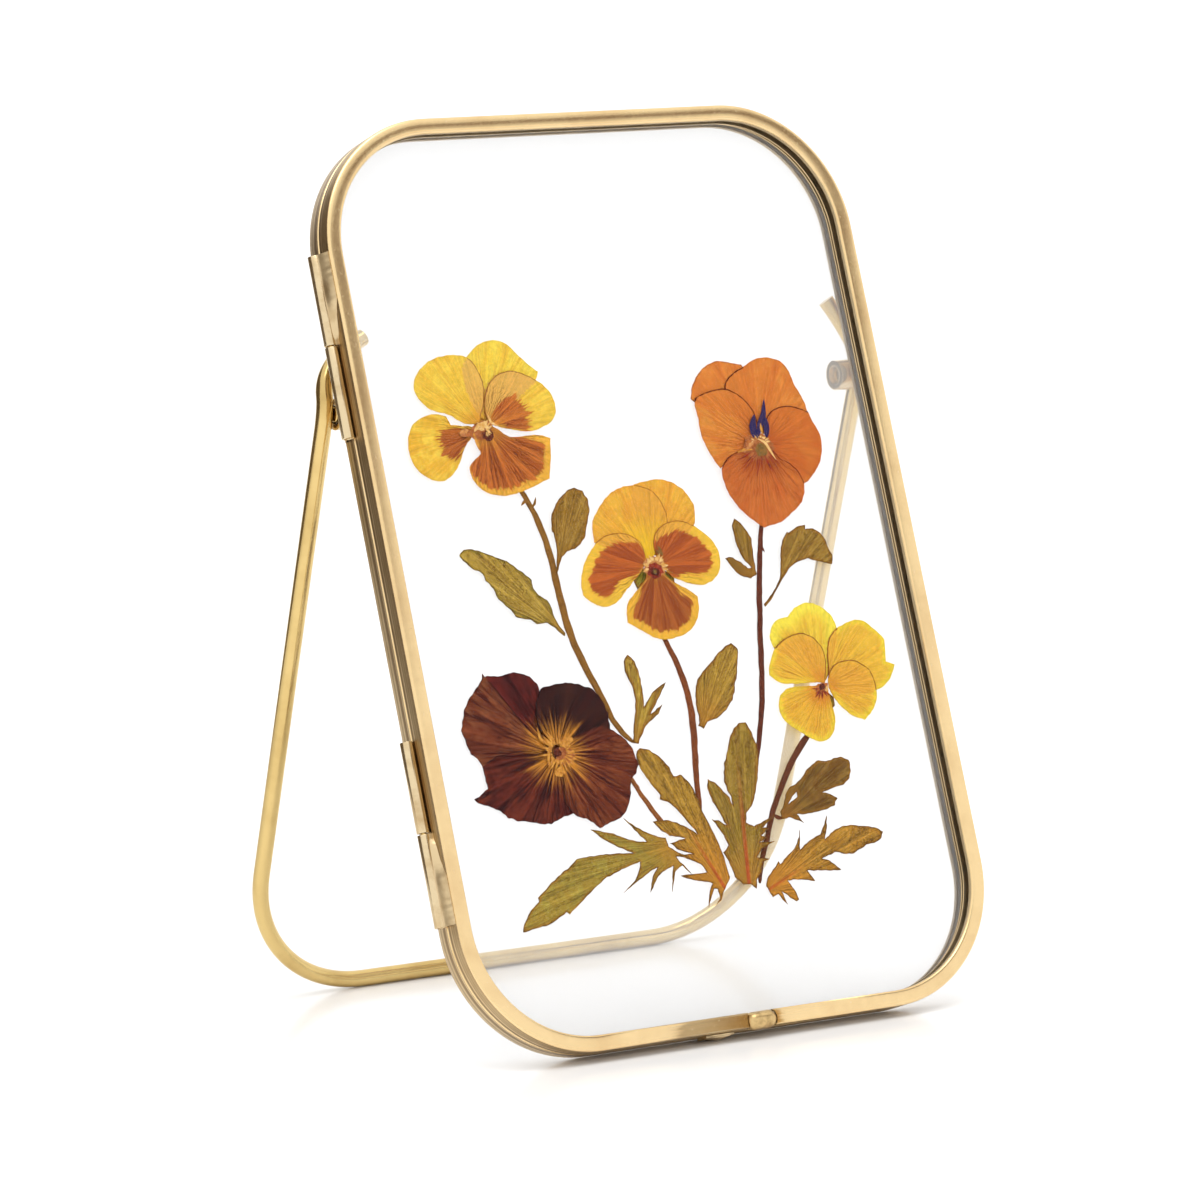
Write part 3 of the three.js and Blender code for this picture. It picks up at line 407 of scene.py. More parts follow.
def solder_web(outer, inner, out):
    """The bent web from a tube to its ring: wide at the hinge's outer end and ragged towards its middle."""
    bpy.ops.mesh.primitive_grid_add(x_subdivisions=10, y_subdivisions=90, size=1)
    web = bpy.context.object
    for vertex in web.data.vertices:
        across = vertex.co.x + 0.5
        along = vertex.co.y + 0.5
        ragged = noise.noise(Vector((along * 3.5, 5 * out, 2)))
        nick = 0.5 * noise.noise(Vector((along * 24, 5, out))) * across
        reach = WEB_REACH * min(1, (1.02 - along) * 1.9 + 0.5 * ragged) + 0.25 * nick
        bow = 0.16 * math.sin(math.pi * across) * (1 + ragged)
        vertex.co.x = HINGE_X + (KNUCKLE_RADIUS + 0.17) * across**0.7 - 0.1 - bow
        vertex.co.y = outer + (inner - outer) * along
        vertex.co.z = HINGE_Z + out * (0.95 + max(WEB_START, reach) * across)
    thicken(web, WEB_SHEET, 60, 0)
    edit_all()
    bpy.ops.mesh.normals_make_consistent(inside=False)
    leave_edit()
    return web


for label, tubes in HINGES.items():
    for low, high, half in tubes:
        low += KNUCKLE_GAP / 2
        high -= KNUCKLE_GAP / 2
        end = label + "_" + half
        knuckle = upright_tube(KNUCKLE_RADIUS, KNUCKLE_BORE, low, high, HINGE_X, HINGE_Z)
        outer, inner = (high, low) if (label == "upper") == (half == "front") else (low, high)
        web = solder_web(outer, inner, 1 if half == "front" else -1)
        body = half + "_half"
        settle(knuckle, tube_brass, "hinge_tube_" + end, body, "ring_brass", "hinge_knuckle_" + end)
        settle(web, solder, "hinge_seam_" + end, body, "ring_brass")
    top = tubes[0][1] - HINGE_PIN_SHORT / 2
    bottom = tubes[1][0] + HINGE_PIN_SHORT / 2
    pin = upright_rod(HINGE_PIN_RADIUS, bottom, top, HINGE_X, HINGE_Z, 24)
    round_edges(pin, 0.15, 3, 40)
    name = "hinge_pin_" + label
    settle(pin, drawn_brass, name + "_rod", "back_half", "wire_brass", name)

# ------------------ the panes
# Two panes of picture glass with cut edges, one in each ring. The front one is clear and hardly reflects, so
# the flowers stand out crisp and dark. A faint white bloom on the back one pales the stand behind it.
for name, finish, clearness in (
    ("front_glass", "clear anti-reflection picture glass", 1),
    ("back_glass", "picture glass with a white bloom", 0.8),
):
    glass, tree, shader = new_material(finish)
    connect(
        tree,
        shader,
        {"Base Color": (1, 1, 1, 1), "Roughness": 0, "IOR": 1.1, "Transmission Weight": clearness},
    )
    frame["nodes"][name].data.materials.clear()
    frame["nodes"][name].data.materials.append(glass)

# ------------------ the stand
# One drawn brass wire is bent into a wide U with round corners. Its ends turn in at the top and stop against
# the back ring, and just below them two short pins run in barrels of brass tube soldered to that ring.
WIRE_RADIUS = 1.62
STAND_OPEN = 37.3
HALF_SPAN = 59.6
LEG = 121.65
FOOT_CORNER = 26
ELBOW = 4
ELBOW_ABOVE = 3
WIRE_REST = -9.6
HANDLE = 0.5523
STRAIGHT = 5
LEFT_TIP = (-49.5, 138.8)
LEFT_BEND = (-59.2, 134.4)
RIGHT_TIP = (54.9, 139.8)
RIGHT_BEND = (59.7, 131.5)
BARREL_RADIUS = 2.95
BARREL_BORE = 1.75
BARREL_LENGTH = 3.6
BARREL_X = 55.9
STAND_PIN_RADIUS = 1.45
STAND_PIN_X = 56.4
STAND_PIN_LENGTH = 3
into_frame = Matrix.Translation(PIVOT) @ Matrix.Rotation(math.radians(STAND_OPEN), 4, "X")
foot = FOOT_CORNER * HANDLE


def on_stand(x, y):
    """A point of the unfolded stand, with y up from its pivot."""
    return into_frame @ Vector((x, y, 0))


def wire_end(side, tip, bend):
    """The three bezier points of one bent end, from its tip to the start of its leg."""
    elbow = Vector((side * HALF_SPAN, PIVOT.y + ELBOW_ABOVE, WIRE_REST))
    bend = Vector((*bend, WIRE_REST))
    tip = Vector((*tip, WIRE_REST))
    start = on_stand(side * HALF_SPAN, -ELBOW)
    control = on_stand(side * HALF_SPAN, 1)
    return [
        (tip, tip, tip.lerp(bend, 2 / 3)),
        (elbow, elbow.lerp(bend, 2 / 3), elbow.lerp(control, 2 / 3)),
        (start, start.lerp(control, 2 / 3), on_stand(side * HALF_SPAN, -ELBOW - STRAIGHT)),
    ]


def wire_corner(side):
    """The two bezier points of one foot corner, from the leg to the foot bar."""
    x = side * HALF_SPAN
    bar = x - side * FOOT_CORNER
    turn = FOOT_CORNER - LEG
    return [
        (on_stand(x, turn), on_stand(x, turn + STRAIGHT), on_stand(x, turn - foot)),
        (on_stand(bar, -LEG), on_stand(bar + side * foot, -LEG), on_stand(bar - side * STRAIGHT, -LEG)),
    ]


left = wire_end(-1, LEFT_TIP, LEFT_BEND) + wire_corner(-1)
right = wire_end(1, RIGHT_TIP, RIGHT_BEND) + wire_corner(1)
points = left + [(co, after, before) for co, before, after in reversed(right)]
bpy.ops.curve.primitive_bezier_curve_add()
wire = bpy.context.object
wire.data.dimensions = "3D"
spline = wire.data.splines[0]
spline.bezier_points.add(len(points) - 2)
for point, (co, before, after) in zip(spline.bezier_points, points):
    point.handle_left_type = "FREE"
    point.handle_right_type = "FREE"
    point.co = co
    point.handle_left = before
    point.handle_right = after
wire.data.resolution_u = 24
wire.data.bevel_depth = WIRE_RADIUS
wire.data.bevel_resolution = 10
wire.data.use_fill_caps = True
bpy.ops.object.convert(target="MESH")
wire = bpy.context.object
edit_all()
bpy.ops.mesh.remove_doubles(threshold=0.001)
leave_edit()
bpy.ops.object.shade_smooth_by_angle(angle=math.radians(50))
settle(wire, drawn_brass, "stand_bent_wire", "stand", "wire_brass", "stand_wire")

for side, name in ((-1, "left"), (1, "right")):
    barrel = upright_tube(BARREL_RADIUS, BARREL_BORE, -BARREL_LENGTH / 2, BARREL_LENGTH / 2, 0, 0)
    barrel.rotation_euler.z = math.pi / 2
    barrel.location = (side * BARREL_X, PIVOT.y, PIVOT.z)
    tube_name = "stand_barrel_tube_" + name
    settle(barrel, tube_brass, tube_name, "back_half", "ring_brass", "stand_barrel_" + name)
    pin = cross_rod(STAND_PIN_RADIUS, STAND_PIN_LENGTH, (side * STAND_PIN_X, PIVOT.y, PIVOT.z), 32)
    round_edges(pin, 0.3, 3, 40)
    settle(pin, drawn_brass, "stand_pin_rod_" + name, "stand", "wire_brass", "stand_pin_" + name)

# ------------------ pressed petals
# Five garden violas, each pressed whole between the panes. A petal is a sheet of dried tissue a tenth of a
# millimetre thick, with fine veins that fan out from the throat and a mottled colour. Where it lies over
# another petal its colour is deeper, painted shade for the light that comes through two layers, and its
# edge is darker, a painted shadow line along the overlap.
PETAL_THICK = 0.1
PETAL_TURN = math.radians(38)
PETAL_ROUGH = 0.14
MAROON_ROUGH = 0.3
CELL = 0.42


def cad_copy(name, ending):
    """A pressed CAD piece's mesh in the rings' axes, with its doubles merged, left in edit mode."""
    mesh = frame["nodes"][name].data.copy()
    mesh.transform(FRAME_AXES.inverted())
    mesh.materials.clear()
    piece = bpy.data.objects.new(name + ending, mesh)
    bpy.context.scene.collection.objects.link(piece)
    only(piece)
    bpy.ops.mesh.customdata_custom_splitnormals_clear()
    edit_all()
    bpy.ops.mesh.remove_doubles(threshold=0.002)
    return piece


def flat_sheet(name):
    """The front face of a pressed CAD piece as one flat sheet."""
    sheet = cad_copy(name, "_sheet")
    leave_edit()
    pick_faces(sheet, lambda face: face.normal.z < 0.5)
    bpy.ops.mesh.delete(type="FACE")
    bpy.ops.mesh.select_all(action="SELECT")
    bpy.ops.mesh.dissolve_limited(angle_limit=math.radians(1))
    leave_edit()
    return sheet


def rim_edges(mesh):
    """The open edges of a flat sheet as pairs of vertex numbers."""
    uses = {}
    for polygon in mesh.polygons:
        for key in polygon.edge_keys:
            uses[key] = uses.get(key, 0) + 1
    return [key for key, count in uses.items() if count == 1]


def soften_outline(sheet, sharp_turn, rough, passes=8):
    """Rounds the outline's short straight pieces into a curve, keeps its sharp points and roughens it."""
    mesh = sheet.data
    beside = {}
    for a, b in rim_edges(mesh):
        beside.setdefault(a, []).append(b)
        beside.setdefault(b, []).append(a)
    sharp = set()
    for v, (a, b) in beside.items():
        spot = mesh.vertices[v].co
        turn = (spot - mesh.vertices[a].co).angle(mesh.vertices[b].co - spot)
        if turn > sharp_turn:
            sharp.add(tuple(round(c, 3) for c in spot))
    edit_all()
    bpy.ops.mesh.subdivide(number_cuts=4)
    bpy.ops.mesh.select_mode(type="VERT")
    bpy.ops.mesh.select_all(action="DESELECT")
    leave_edit()
    for vertex in mesh.vertices:
        vertex.select = tuple(round(c, 3) for c in vertex.co) not in sharp
    bpy.ops.object.mode_set(mode="EDIT")
    bpy.ops.mesh.vertices_smooth(factor=0.5, repeat=passes)
    leave_edit()
    for vertex in mesh.vertices:
        vertex.co.x += rough * noise.noise(vertex.co * 1.1)
        vertex.co.y += rough * noise.noise(vertex.co * 1.1 + Vector((9, 4, 1)))


def rule_into_cells(sheet):
    """Cuts a flat sheet into small cells, so that its relief and its marks have points to sit on."""
    corners = [Vector(corner) for corner in sheet.bound_box]
    low = corners[0]
    high = corners[6]
    bpy.ops.object.mode_set(mode="EDIT")
    for axis in (0, 1):
        direction = [0, 0, 0]
        direction[axis] = 1
        cuts = int((high[axis] - low[axis]) / CELL)
        for i in range(1, cuts + 1):
            point = list(low)
            point[axis] = low[axis] + (i - 0.37) * CELL
            bpy.ops.mesh.select_all(action="SELECT")
            bpy.ops.mesh.bisect(plane_co=point, plane_no=direction, threshold=0.0005)
    leave_edit()


def mark_sheet(sheet, heart, cover):
    """Stores, for the colours, how far each point is from the rim, on how many petals it lies, and its fan
    place: its angle round the flower's heart from the petal's axis, and its distance in centimetres."""
    mesh = sheet.data
    rim = [(mesh.vertices[a].co.copy(), mesh.vertices[b].co.copy()) for a, b in rim_edges(mesh)]
    middle = sum((v.co for v in mesh.vertices), Vector()) / len(mesh.vertices) - heart
    axis = math.atan2(middle.y, middle.x)
    far = mesh.attributes.new("rim", "FLOAT", "POINT")
    over = mesh.attributes.new("over", "FLOAT", "POINT")
    down = Vector((0, 0, -1))
    fan = []
    for i, vertex in enumerate(mesh.vertices):
        spot = vertex.co
        nearest = 9.0
        for a, b in rim:
            if abs(a.x - spot.x) < nearest + 1 and abs(a.y - spot.y) < nearest + 1:
                close, share = intersect_point_line(spot, a, b)
                close = a if share < 0 else b if share > 1 else close
                nearest = min(nearest, (close - spot).length)
        far.data[i].value = nearest
        above = Vector((spot.x, spot.y, 10))
        over.data[i].value = sum(tree.ray_cast(above, down)[0] is not None for tree in cover)
        from_heart = spot - heart
        angle = math.atan2(from_heart.y, from_heart.x) - axis
        angle = (angle + math.pi) % (2 * math.pi) - math.pi
        fan.append((angle, from_heart.length / 10))
    uv = mesh.uv_layers.new(name="fan")
    for loop in mesh.loops:
        uv.data[loop.index].uv = fan[loop.vertex_index]
    return fan


def press(sheet, name, heart, cover, folds, height, thickness, slot, skin):
    """Makes a flat outline a pressed piece, with creases that run out from its heart and a slow wave."""
    rule_into_cells(sheet)
    fan = mark_sheet(sheet, Vector((*heart, sheet.data.vertices[0].co.z)), cover)
    for vertex, (angle, reach) in zip(sheet.data.vertices, fan):
        crease = math.sin(angle * folds + 3 * noise.noise(vertex.co * 0.2)) * min(1, reach / 0.5)
        wave = noise.noise(vertex.co * 0.35)
        vertex.co.z += height * (0.5 * crease + 0.8 * wave)
    thicken(sheet, thickness, 50)
    settle(sheet, skin, name + "_sheet", "back_half", slot, name)


# Dried plant tissue is matt, and the eye sees it as layers of colour: ground and rim, painted shade where a
# petal lies over another, blotch, heart, then veins, midrib and edge, the edge deepened by a painted shadow
# line where it lies over another, and paler and darker flecks as on blotting paper. Most of them follow
# the fan.
GRAIN_MM = 0.7


def dried_sheet(name, look):
    material, tree, shader = new_material(name)
    place = node(tree, "ShaderNodeTexCoord", out="Object")
    fan = node(tree, "ShaderNodeUVMap", uv_map="fan")
    part = {
        "angle": node(tree, "ShaderNodeSeparateXYZ", {0: fan}, "X"),
        "centimetres": node(tree, "ShaderNodeSeparateXYZ", {0: fan}, "Y"),
        "rim": node(tree, "ShaderNodeAttribute", out="Fac", attribute_name="rim"),
        "over": node(tree, "ShaderNodeAttribute", out="Fac", attribute_name="over"),
    }

    # Fibres run along the fan: fine across it and long along it, as broad streaks and as hair-fine ones.
    patterns = {"mottle": (place, 1000 / look["mottle_mm"], 0.6), "grain": (place, 1000 / GRAIN_MM, 0.75)}
    for kind, count, length, layer in (("broad", 0.35, 1.75, 3), ("fine", 1, 1, 8)):
        size = (look["fibres"] * count, 10 / (look["fibre_mm"] * length), 0)
        grid = {0: fan, 1: size, 2: (0, 0, layer)}
        patterns[kind] = (node(tree, "ShaderNodeVectorMath", grid, operation="MULTIPLY_ADD"), 1, 0.6)
    for kind, (where, scale, rough) in patterns.items():
        cloud = {"Vector": where, "Scale": scale, "Detail": 4, "Roughness": rough, "Distortion": 0.8}
        part[kind] = node(tree, "ShaderNodeTexNoise", cloud)

    # Veins are thin lines, a set number to the radian, bent a little by the mottling.
    sums = (
        ("reach", "MULTIPLY", "centimetres", 10),
        ("both fibres", "MULTIPLY_ADD", "fine", 0.7, "broad"),
        ("feather", "SUBTRACT", "both fibres", 0.85),
        ("ragged reach", "MULTIPLY_ADD", "feather", look["feather"], "reach"),
        ("ragged rim", "MULTIPLY_ADD", "feather", -0.55 * look["feather"], "rim"),
        ("bent", "MULTIPLY_ADD", "mottle", 0.35, "angle"),
        ("vein turn", "MULTIPLY", "bent", look["veins"]),
        ("vein", "PINGPONG", "vein turn", 0.5),
        ("veinlet turn", "MULTIPLY", "bent", look["veins"] * 2.2),
        ("veinlet", "PINGPONG", "veinlet turn", 0.5),
        ("sine", "SINE", "angle"),
        ("offset", "MULTIPLY", "sine", "reach"),
        ("aside", "ABSOLUTE", "offset"),
        ("flecks", "SUBTRACT", "grain", "fine"),
        ("shade", "MULTIPLY_ADD", "flecks", look["fleck"], 1),
        ("height", "MULTIPLY_ADD", "fine", 2, "grain"),
        ("turn", "SUBTRACT", "angle", look["blotch_turn"]),
        ("wide turn", "DIVIDE", "turn", look["blotch_spread"]),
        ("plain turn", "ABSOLUTE", "wide turn"),
        ("shrink", "POWER", "plain turn", 4),
        ("blotch end", "MULTIPLY_ADD", "shrink", -look["blotch_mm"], look["blotch_mm"]),
        ("to blotch end", "SUBTRACT", "blotch end", "ragged reach"),
    )
    for result, operation, *values in sums:
        inputs = {i: part.get(value, value) for i, value in enumerate(values)}
        part[result] = node(tree, "ShaderNodeMath", inputs, operation=operation)

    def ramp(depth, value, low, high):
        limits = {"Value": part[value], "From Min": low, "From Max": high, "To Max": depth}
        return node(tree, "ShaderNodeMapRange", limits, interpolation_type="SMOOTHSTEP")

    def layered(tone, layers):
        for tint, depth, *limits in layers:
            if depth != 0:
                for value, low, high in limits:
                    depth = ramp(depth, value, low, high)
                tone = node(tree, "ShaderNodeMix", {0: depth, 6: tone, 7: tint}, 2, data_type="RGBA")
        return tone

    free = ramp(look["blotch_rim"], "reach", look["rim_from"], look["rim_to"])
    inner = {0: part["ragged rim"], 1: free}
    part["to blotch rim"] = node(tree, "ShaderNodeMath", inner, operation="SUBTRACT")
    # Where the petal lies over another, the edge colour is laid deeper: a painted shadow line along the
    # overlap. Elsewhere it is the petal's own dark edge.
    covered = {0: ramp(1, "over", 0.2, 0.8), 1: look["overlap_shadow_edge"], 2: look["edge_free"]}
    edge_depth = node(tree, "ShaderNodeMath", covered, operation="MULTIPLY_ADD")
    tints = {key: linear(code) for key, code in look.items() if isinstance(code, str)}
    spots = (
        (tints["blotch_deep"], 1, ("broad", 0.42, 0.6)),
        (tints["blotch_light"], 0.6, ("fine", 0.52, 0.68)),
    )
    blotch = layered(tints["blotch"], spots)
    rim = ("ragged rim", look["rim_mm"], look["rim_mm"] * 0.3)
    heart = ("ragged reach", look["heart_mm"] * 1.3, look["heart_mm"] * 0.25)
    fade = ("reach", look["vein_mm"], look["vein_mm"] * 0.4)
    rib = ("aside", look["midrib_mm"], look["midrib_mm"] * 0.4)
    edge = ("rim", look["edge_mm"], look["edge_mm"] * 0.35)
    blotch_depth = 0.95 if look["blotch_mm"] else 0
    layers = (
        (tints["second"], 1, ("mottle", 0.38, 0.62)),
        (tints["deep"], look["fibre_depth"], ("broad", 0.46, 0.64)),
        (tints["rim"], 1 if look["rim_mm"] else 0, rim),
        # The over colour is painted shade where the petal lies over another.
        (tints["over"], look["overlap_shade_depth"], ("over", 0.2, 0.8)),
        (blotch, blotch_depth, ("to blotch end", -0.25, 0.25), ("to blotch rim", -0.2, 0.2)),
        (tints["heart"], look["heart_depth"], heart),
        (tints["vein"], look["vein_depth"], ("vein", 0.12, 0.036), ("broad", 0.38, 0.56), fade),
        (tints["vein"], look["vein_depth"], ("veinlet", 0.17, 0.051), ("fine", 0.38, 0.56), fade),
        (tints["midrib"], 0.85 if look["midrib_mm"] else 0, rib, ("reach", look["rib_end"], 2)),
        (tints["edge"], edge_depth, edge, ("fine", 0.3, 0.5)),
    )
    shaded = {0: layered(tints["ground"], layers), "Scale": part["shade"]}
    tone = node(tree, "ShaderNodeVectorMath", shaded, operation="SCALE")
    bump = node(tree, "ShaderNodeBump", {"Height": part["height"], "Strength": 0.5, "Distance": 0.00008})
    skin = {"Base Color": tone, "Normal": bump, "Roughness": look["roughness"], "Specular IOR Level": 0.12}
    connect(tree, shader, skin)
    return material


# In each look the over colour and its depth are painted shade where a petal lies over another.
PETAL_LOOK = dict(
    ground="EBBE42", second="F2CC4C", deep="E0A53A", fibres=30, fibre_mm=8, fibre_depth=0.55, mottle_mm=3,
    feather=7, rim="F3D84E", rim_mm=0, over="E3A84A", overlap_shade_depth=0.75, blotch="C4652B", blotch_deep="9A4524",
    blotch_light="D0793A", blotch_mm=0, blotch_rim=0, blotch_turn=0, blotch_spread=9, rim_from=2, rim_to=9,
    heart="D98A2E", heart_mm=4, heart_depth=0.7, vein="B06A22", veins=9, vein_mm=15, vein_depth=0.5,
    midrib="B8602C", midrib_mm=0, rib_end=20, edge="A5622A", edge_mm=0.26, overlap_shadow_edge=0.75, edge_free=0.15,
    roughness=0.75, fleck=0.7,
)
YELLOW = dict(PETAL_LOOK, over="E2AE5C", heart="E0983A", edge="96562A")
ORANGE = dict(
    PETAL_LOOK, ground="D87C34", second="DE8A3C", deep="C8642A", over="D0732F", overlap_shade_depth=0.6,
    heart="BC5626", heart_mm=6, vein="8A3818", veins=6, vein_mm=11, vein_depth=0.75, edge="4E140C",
    edge_mm=0.3, overlap_shadow_edge=1, mottle_mm=4, fibres=24, feather=5,
)
BICOLOUR = dict(
    PETAL_LOOK, ground="E5A23C", second="EBB240", deep="DE9434", over="E2A040", heart="EDBE34", heart_mm=8,
    rim="EEBE40", blotch="BE5B28", blotch_deep="9A4222", blotch_light="CF7434", vein="7E3420", veins=7,
    vein_mm=14, vein_depth=0.6, edge="A45C26", mottle_mm=4, feather=5,
)
MAROON = dict(
    PETAL_LOOK, ground="66301E", second="7C4024", deep="3C120F", over="3A100E", overlap_shade_depth=0.4,
    fibre_depth=0.9, feather=14, heart="CC862E", heart_mm=6, heart_depth=0.95, vein="2C0A0A", veins=6,
    vein_mm=22, vein_depth=0.7, edge="1E0708", edge_mm=0.3, overlap_shadow_edge=0.5, edge_free=0.4, mottle_mm=5,
    roughness=0.7, fibres=26, fleck=1.7,
)
GOLDEN = dict(
    PETAL_LOOK, ground="E9B23B", second="EDBD42", deep="DF9F36", rim="F2D140", rim_mm=1.3, over="E5A53E",
    heart="D97A2C", heart_mm=3.6, vein="BC6A22", veins=8, edge="8E4E22", edge_mm=0.28, overlap_shadow_edge=0.9,
    mottle_mm=4, feather=5,
)
BLOTCHED = dict(blotch_mm=40, heart_mm=2.2, heart_depth=0.5, rim_from=4, rim_to=8)
WINGS = dict(BLOTCHED, rim_mm=3, blotch_rim=1.9)
FLOWERS = {
    "yellow_viola": ((-30.5, 118.2), YELLOW, {
        "upper_left": dict(heart="DE8E34", heart_mm=5, vein="A85E20", vein_mm=12),
        "upper_right": dict(ground="EEC844", second="F4D652", heart_mm=4),
        "side_left": dict(
            ground="E9B43C", blotch_mm=10.6, blotch_turn=0.08, blotch_spread=0.55, blotch="B8602C",
            vein="5E2C16", vein_depth=1, vein_mm=12,
        ),
        "side_right": dict(
            ground="EBC043", over="E0AA58", overlap_shade_depth=0.85, blotch_mm=10.2, blotch_turn=-0.2,
            blotch_spread=0.72, blotch="CC7030", blotch_deep="AC5228", blotch_light="D98644", vein="6A3018",
            vein_depth=1, vein_mm=12,
        ),
        "lower": dict(
            ground="E4A23C", rim="EBAE40", rim_mm=2, blotch_mm=14.8, blotch_rim=1.4, rim_from=7, rim_to=13,
            blotch="C86A2E", blotch_deep="93431F", vein="5E2814", vein_mm=17, vein_depth=1,
        ),
    }),
    "orange_viola": ((29.2, 110.6), ORANGE, {
        "upper_left": dict(vein_depth=0.15, edge_free=0.4),
        "upper_right": dict(ground="D67C34", vein_depth=0.15, heart_mm=3),
        "side_left": dict(ground="D68034", second="DB8D3C"),
        "side_right": dict(ground="C8682A", second="CE7430"),
        "lower": dict(ground="C2642C", second="CA7034", vein_mm=14, heart="93441E", heart_mm=7),
    }),
    "bicolour_viola": ((0.1, 89), BICOLOUR, {
        "upper_left": dict(heart="EFC22C", heart_mm=10, heart_depth=0.9, vein_depth=0.25),
        "upper_right": dict(heart="E9A93A", vein_depth=0.25),
        "side_left": WINGS,
        "side_right": WINGS,
        "lower": dict(
            BLOTCHED, rim_mm=2, blotch_rim=1.5, blotch="AC5828", blotch_deep="863A1E", blotch_light="B86C34",
            rim="EBB23C",
        ),
    }),
    "maroon_viola": ((-28.6, 56), MAROON, {
        "upper_left": dict(ground="74361E", second="84482A"),
        "upper_middle": dict(ground="4E120F", second="62201A", deep="2E090A"),
        "upper_right": dict(ground="34100E", second="3E1C14", deep="200809"),
        "lower_right": dict(ground="6C301A", second="803F22", deep="451611"),
        "lower_left": dict(ground="541A12", second="702E1C", deep="2C0B0D"),
    }),
    "golden_viola": ((32.4, 62.8), GOLDEN, {
        "upper": dict(ground="EDC540", second="F2D048", rim="F7E14C", rim_mm=3.2, over="E4A23C"),
        "side_left": {},
        "upper_right": dict(ground="E9B83E"),
        "lower_right": {},
        "lower": dict(heart_mm=5, heart_depth=0.85),
    }),
}
for flower, (heart, variety, petals) in FLOWERS.items():
    slot = "petal_" + flower.removesuffix("_viola")
    sheets = {petal: flat_sheet(flower + "_petal_" + petal) for petal in petals}
    outlines = {}
    for petal, sheet in sheets.items():
        only(sheet)
        soften_outline(sheet, PETAL_TURN, MAROON_ROUGH if variety is MAROON else PETAL_ROUGH)
        sheet.data.calc_loop_triangles()
        corners = [vertex.co for vertex in sheet.data.vertices]
        triangles = [tuple(triangle.vertices) for triangle in sheet.data.loop_triangles]
        outlines[petal] = BVHTree.FromPolygons(corners, triangles)
    for petal, sheet in sheets.items():
        only(sheet)
        name = flower + "_petal_" + petal
        others = [tree for other, tree in outlines.items() if other != petal]
        skin = dried_sheet("dried petal of " + name, {**variety, **petals[petal]})
        press(sheet, name, heart, others, 22, 0.035, PETAL_THICK, slot, skin)

# ------------------ pressed leaves
# Eleven pressed leaves and pieces of leaves, thicker and brown-green. Their veins run out along each lobe
# from the stalk, their edges are darker, and three of the lobed ones have a reddish midrib.
LEAF_THICK = 0.12
LEAF_ROUGH = 0.2
TOOTH_TURN = math.radians(14)
LEAF_LOOK = dict(
    PETAL_LOOK, ground="A67F2E", second="B4923A", deep="80602A", fibres=44, fibre_mm=11, fibre_depth=0.6,
    mottle_mm=2.6, feather=3, heart="B0702A", heart_mm=5, heart_depth=0.4, vein="5E3E16", veins=12,
    vein_mm=80, vein_depth=0.7, edge="5E3E1A", edge_mm=0.28, edge_free=0.8, overlap_shadow_edge=0, overlap_shade_depth=0,
    rim="9A6A28", rim_mm=0.6, roughness=0.8, fleck=1.5,
)
LEAVES = {
    "toothed_left": ((-21.4, 77.6), dict(ground="AE8E3A", second="BC9C44", rim="8E7A30")),
    "oval_right": ((-21.6, 88.6), dict(ground="9A722A", second="A8823A")),
    "three_fingered": ((-11.4, 55.8), dict(ground="B08E36", second="BE9E42")),
    "oval_middle": ((3.6, 57.2), dict(ground="AC8633", second="BA943C", heart="C07A2C", heart_mm=8)),
    "lobed_crown_left": ((2.6, 25.2), dict(
        ground="AC822F", second="BA903A", heart="D08A30", heart_mm=15, heart_depth=0.75, midrib="B8502A",
        midrib_mm=0.5, rib_end=18,
    )),
    "lobed_crown_middle": ((6.9, 25.4), dict(
        ground="96792C", second="A5853A", heart="CC8830", heart_mm=9, midrib="B44A28", midrib_mm=0.6,
        rib_end=28,
    )),
    "lobed_long_left": ((-4.2, 36.4), dict(
        ground="A88B38", second="A89540", deep="7E7030", heart="C68C34", heart_mm=9, heart_depth=0.8,
        rim="A87C30", fibres=70, veins=26,
    )),
    "lobed_right": ((10.4, 25.2), dict(
        ground="B47E2C", second="C08E38", heart="D68E32", heart_mm=11, heart_depth=0.75, midrib="BC5C2A",
        midrib_mm=0.4, rib_end=12,
    )),
    "paired_right": ((17.2, 38.2), dict(ground="7C5626", second="8C6A30", deep="523A1A")),
    "paired_left": ((21, 84.6), dict(ground="9A762C", second="947234", deep="64491E")),
    "fan_right": ((22.6, 78.9), dict(ground="9C7430", second="A68238", deep="6E5222")),
}
for leaf, (stalk, look) in LEAVES.items():
    name = "leaf_" + leaf
    sheet = flat_sheet(name)
    soften_outline(sheet, TOOTH_TURN, LEAF_ROUGH, 3)
    skin = dried_sheet("dried leaf of " + name, {**LEAF_LOOK, **look})
    press(sheet, name, stalk, [], 26, 0.05, LEAF_THICK, "leaf", skin)

# ------------------ sepals
# Narrow green sepals of dried tissue, thin as the petals. They were pressed behind the hearts of two flowers,
# where their tips show.
SEPAL_ROUGH = 0.09
SEPAL_LOOK = dict(LEAF_LOOK, ground="8F8A2C", second="A39A36", deep="5E5C1C", heart_mm=1)
for name, heart in (("bicolour_viola_sepals", (0, 91)), ("golden_viola_sepals", (33, 63))):
    sheet = flat_sheet(name)
    soften_outline(sheet, PETAL_TURN, SEPAL_ROUGH)
    press(sheet, name, heart, [], 12, 0.03, PETAL_THICK, "sepal", dried_sheet("dried " + name, SEPAL_LOOK))

